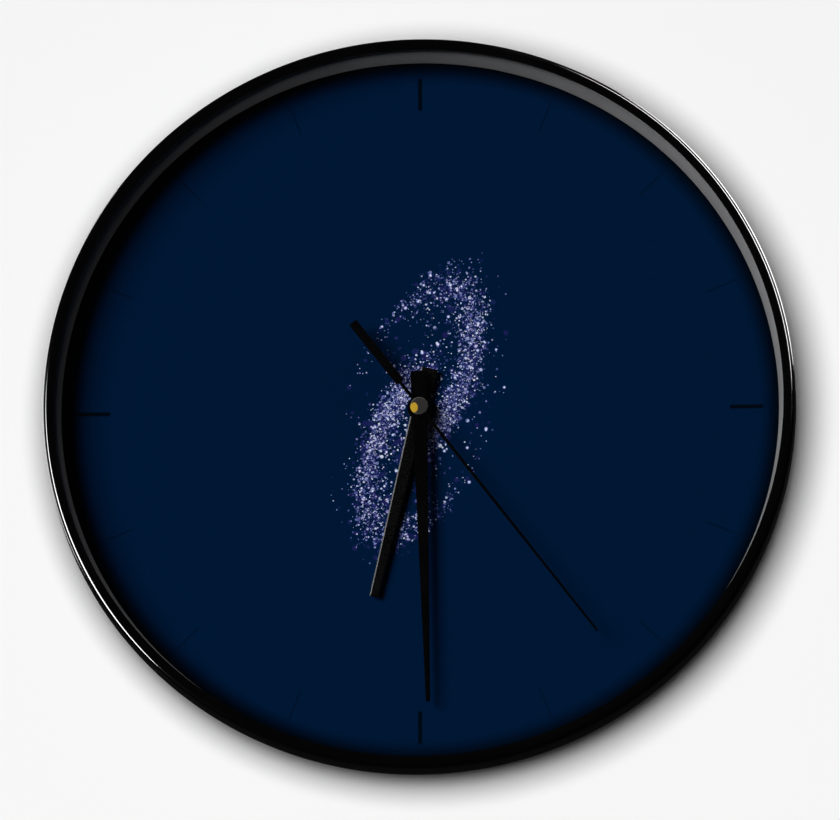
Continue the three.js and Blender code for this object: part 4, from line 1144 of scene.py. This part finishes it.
def spring(x_start, x_end, wide, narrow, turns=3.25):
    """A conical spring: x and radius both change evenly with the angle, and a wire is carried along it."""
    angle = np.linspace(0, 2 * np.pi * turns, 150)
    share = angle / angle[-1]
    radius = wide + (narrow - wide) * share
    outward = np.stack([np.zeros_like(angle), np.cos(angle), np.sin(angle)], axis=-1)
    along = x_start + (x_end - x_start) * share
    level = [np.full_like(angle, place) for place in (BATTERY_DEPTH, BATTERY_HEIGHT)]
    middle = np.stack([along, *level], axis=-1)
    return tube(middle + radius[:, None] * outward, outward, 0.18, 8)


negative = strip("battery_contact_negative")
wire_start = negative.points[:, 0].max() + 0.1
wire = spring(wire_start, foot - 0.22, 3.4, 1.4)
put("spring_contact", [negative, wire], zinc, stands_for=["battery_contact_negative"])
positive = strip("battery_contact_positive")
dimple_start = positive.points[:, 0].min() + 0.1
dimple_end = tip + PRESSED
dimple_view = [(0, dimple_start, 0), (2.4, dimple_start, 0), (1.2, dimple_end, 0.4), (0, dimple_end, 0)]
dimple = along_x(rounded(dimple_view), 48)
put("flat_contact", [positive, dimple], zinc, stands_for=["battery_contact_positive"])

# %% [markdown]
# ## Inside the movement
# The wheels, motor and circuit sit inside the box and show only when it is opened, so they keep the
# frame's own shapes and get true finishes: nylon wheels on their mould's grain, a brass cannon tube, an
# iron core and stator in rolled sheet, copper wire wound in fine turns, and a lacquered green board.

# %% Finishes inside the movement
WIRE = 0.12  # from turn to turn


def refinish(finish, slot, *nodes):
    """Give a finish to nodes that keep the frame's own shape."""
    for node in nodes:
        holder = frame["nodes"][node]
        for material_slot in holder.material_slots:
            material_slot.material = finish
    print(finish.name, "on", ", ".join(nodes))


def wound_copper():
    """Lacquered wire: a wave with one crest to each turn, in the bump and as painted shade between turns.
    """
    material, tree, shader = new_finish("coil_copper", {"Metallic": 1.0})
    place = object_place(tree)
    angle = sums(tree, "MULTIPLY", split(tree, place)["X"], 2 * math.pi / (WIRE * MM))
    turns = sums(tree, "SINE", angle)
    # painted shade and highlight: the copper is darker between turns and paler on each crest
    shade = blended(tree, ranged(tree, turns, -1.0, 1.0), colour(120, 54, 26), colour(190, 104, 58))
    rough = spread(tree, noise(tree, place, 400.0), 0.25, 0.4)
    link(tree, shader, Base_Color=shade, Roughness=rough, Normal=bumped(tree, turns, 0.5, 0.06))
    return material


WHEELS = ["intermediate_wheel", "seconds_wheel", "third_wheel", "centre_wheel", "motion_wheel",
          "hour_wheel", "setting_wheel"]
inside_plastics = [
    ("wheel_nylon", (222, 218, 205), (236, 233, 224), 0.48, 2500, WHEELS),
    ("bobbin_white", (206, 202, 188), (220, 216, 204), 0.55, 2200, ["coil_bobbin"]),
    ("board_green", (26, 66, 46), (36, 84, 60), 0.38, 1400, ["circuit_board"]),
    ("chip_black", (16, 16, 17), (22, 22, 23), 0.5, 3500, ["driver_chip"]),
]
inside_metals = [
    ("arbor_brass", (164, 128, 56), (190, 154, 76), 0.3, (800.0, 6000.0, 800.0), ["minute_arbor"]),
    ("magnet_dark", (58, 58, 62), (74, 74, 78), 0.5, (1800.0, 1800.0, 1800.0), ["rotor"]),
    ("core_iron", (104, 106, 110), (128, 130, 134), 0.42, (60.0, 2500.0, 2500.0),
     ["coil_core", "stator"]),
]
for name, dark, light, roughness, grain, nodes in inside_plastics:
    refinish(plastic(name, dark, light, roughness, grain=grain), name, *nodes)
for name, dark, light, roughness, stretch, nodes in inside_metals:
    refinish(metal(name, dark, light, roughness, stretch=stretch), name, *nodes)
refinish(wound_copper(), "coil_copper", "coil_winding")
refinish(zinc, "zinc_steel", "quartz_crystal")

# %% [markdown]
# ## Wall and room
# The clock hangs on a pale wall. The wall is not part of it: it stands just behind the frame's wall
# plane and is clear from behind, so that the back can be looked at. The room is dim but for what the
# camera sees directly, so the black gloss stays black.

# %% Wall and world
WALL_GREY, WALL_HALF, WALL_BEHIND = 0.93, 2, 0.0005
ROOM_GLOW = 0.035
ROOM_SEEN = {"Is Camera Ray": 0.913, "Is Transmission Ray": 0.06, "Is Glossy Ray": 0.008}


def wall_paint():
    """Matte wall paint that turns clear where it is seen from behind."""
    even = {"Base Color": (WALL_GREY,) * 3 + (1.0,), "Specular IOR Level": 0.0, "Roughness": 1.0}
    material, tree, shader = new_finish("wall_paint", even)
    see_through(tree, shader, make(tree, "ShaderNodeNewGeometry").outputs["Backfacing"])
    return material


def room():
    """A world that is pale to the camera, dim elsewhere, and dimmest where it is mirrored."""
    world = bpy.data.worlds.new("room")
    world.use_nodes = True
    tree = world.node_tree
    path = make(tree, "ShaderNodeLightPath").outputs
    strength = ROOM_GLOW
    for ray, seen in ROOM_SEEN.items():
        strength = sums(tree, "MULTIPLY_ADD", path[ray], seen - ROOM_GLOW, strength)
    background = tree.nodes["Background"]
    background.inputs["Color"].default_value = (1.0, 1.0, 1.0, 1.0)
    tree.links.new(strength, background.inputs["Strength"])
    return world


wall_mesh = bpy.data.meshes.new("wall")
wall_sides = ((-1, -1), (1, -1), (1, 1), (-1, 1))
wall_corners = [(WALL_HALF * x, WALL_BEHIND, WALL_HALF * z) for x, z in wall_sides]
wall_mesh.from_pydata(wall_corners, [], [(0, 1, 2, 3)])
wall_mesh.materials.append(wall_paint())
wall = bpy.data.objects.new("wall", wall_mesh)
scene.collection.objects.link(wall)
wall.visible_shadow = False
wall.visible_glossy = False
scene.world = room()
print("world:", scene.world.name)

# %% [markdown]
# ## Lights
# A broad window at the upper left leaves the left of the dial in the bezel's shade. The wall has a lamp
# of its own from nearly straight ahead, because the shadow is a soft rim all round, a little stronger at
# the lower right. The inner ring has its own sun, which lets it shine on the right. Oval lamps give the
# two bright lines on the bezel's shoulder and the hour hand's bright edge, and two weak suns behind the
# wall show the back.

# %% Lights
HUB = Vector((0, -LIP_EDGE * MM, HAND_AXIS.z))
UP = Vector((0, 0, 1))
LAMP_DISTANCE = 1.41


def aimed(towards, upright):
    """A place and turn for a light on that side of the clock, its y axis near the upright given."""
    back = Vector(towards).normalized()
    across = upright.cross(back).normalized()
    turn = Matrix((across, back.cross(across), back)).transposed().to_4x4()
    return Matrix.Translation(HUB + LAMP_DISTANCE * back) @ turn


def lit(name, kind, towards, power, linked, state, upright=UP, **settings):
    """Add a light on that side of the clock that reaches only the linked objects, or all but them."""
    data = bpy.data.lights.new(name, kind)
    data.energy = power
    for setting, value in settings.items():
        setattr(data, setting, value)
    lamp = bpy.data.objects.new(name, data)
    lamp.matrix_world = aimed(towards, upright)
    lamp.visible_transmission = False
    scene.collection.objects.link(lamp)
    receivers = bpy.data.collections.new(name + "_reach")
    for target in linked:
        receivers.objects.link(target)
    lamp.light_linking.receiver_collection = receivers
    for member in receivers.collection_objects:
        member.light_linking.link_state = state
    return lamp


def evened(lamp):
    """Let a lamp not grow weaker with distance, so that the wall is the same grey all over."""
    lamp.data.use_nodes = True
    tree = lamp.data.node_tree
    falloff = make(tree, "ShaderNodeLightFalloff", {"Strength": 1.0})
    tree.links.new(falloff.outputs["Constant"], tree.nodes["Emission"].inputs["Strength"])
    lamp.visible_camera = False


upper_left = (-0.69, -0.68, 0.24)
window = lit("window", "SUN", upper_left, 4.75, [wall, ring], "EXCLUDE", angle=math.radians(38))
window.visible_glossy = False
ahead = (-0.088, -1.39, -0.155)
evened(lit("wall_lamp", "POINT", ahead, 39.6, [wall], "INCLUDE", shadow_soft_size=0.38))
lit("ring_lamp", "SUN", (-0.27, -0.955, 0.12), 8.2, [ring], "INCLUDE", angle=math.radians(25))
lit("rear_left", "SUN", (0.5, 0.8, 0.6), 2.8, [wall], "EXCLUDE", angle=math.radians(30))
lit("rear_right", "SUN", (-0.7, 0.7, 0.3), 1.5, [wall], "EXCLUDE", angle=math.radians(40))


def tall_lamp(name, towards, upright, wide, tall, radiance, target):
    """An oval lamp that shows only as a bright line in the gloss of one piece."""
    power = radiance * math.pi * tall * wide * math.pi / 4
    settings = {"shape": "ELLIPSE", "size": wide, "size_y": tall}
    lamp = lit(name, "AREA", towards, power, [target], "INCLUDE", Vector(upright), **settings)
    lamp.visible_camera = False
    lamp.visible_diffuse = False


tall_lamp("left_lamp", (-0.82, -0.48, -0.15), (0.17, -0.52, 0.84), 0.4, 1.6, 46.0, bezel)
tall_lamp("right_lamp", (0.61, -0.55, 0.63), (0.72, 0, -0.69), 0.4, 1.3, 40.0, bezel)
tall_lamp("hand_lamp", (-0.70, -0.58, 0.42), (0.3, 0, 0.95), 0.4, 0.8, 34.0, hour_blade)

# %% [markdown]
# ## Camera
# The camera stands far away with a long lens, a little under 15 degrees below the axis of the hands and
# about 3 degrees to its right: the round rim is hardly lower than it is wide, and more of the inner ring
# shows at the top.

# %% Camera
CAMERA_DISTANCE = 13.004
CAMERA_BELOW = math.radians(14.6)
CAMERA_RIGHT = math.radians(2.8)
FOCAL_LENGTH, SENSOR_WIDTH, VIEW_END = 1400, 36, 200
AIM = HUB + Vector((0.00062, 0.0, -0.0034))
level = math.cos(CAMERA_BELOW)
away = Vector((level * math.sin(CAMERA_RIGHT), -level * math.cos(CAMERA_RIGHT), -math.sin(CAMERA_BELOW)))
camera_data = bpy.data.cameras.new("camera")
camera_data.lens = FOCAL_LENGTH
camera_data.sensor_width = SENSOR_WIDTH
camera_data.clip_end = VIEW_END
camera = bpy.data.objects.new("camera", camera_data)
camera.location = AIM + CAMERA_DISTANCE * away
camera.rotation_euler = (-away).to_track_quat("-Z", "Y").to_euler()
scene.collection.objects.link(camera)
scene.camera = camera
scene.view_settings.view_transform = "Standard"
print("camera at", [round(value, 3) for value in camera.location])
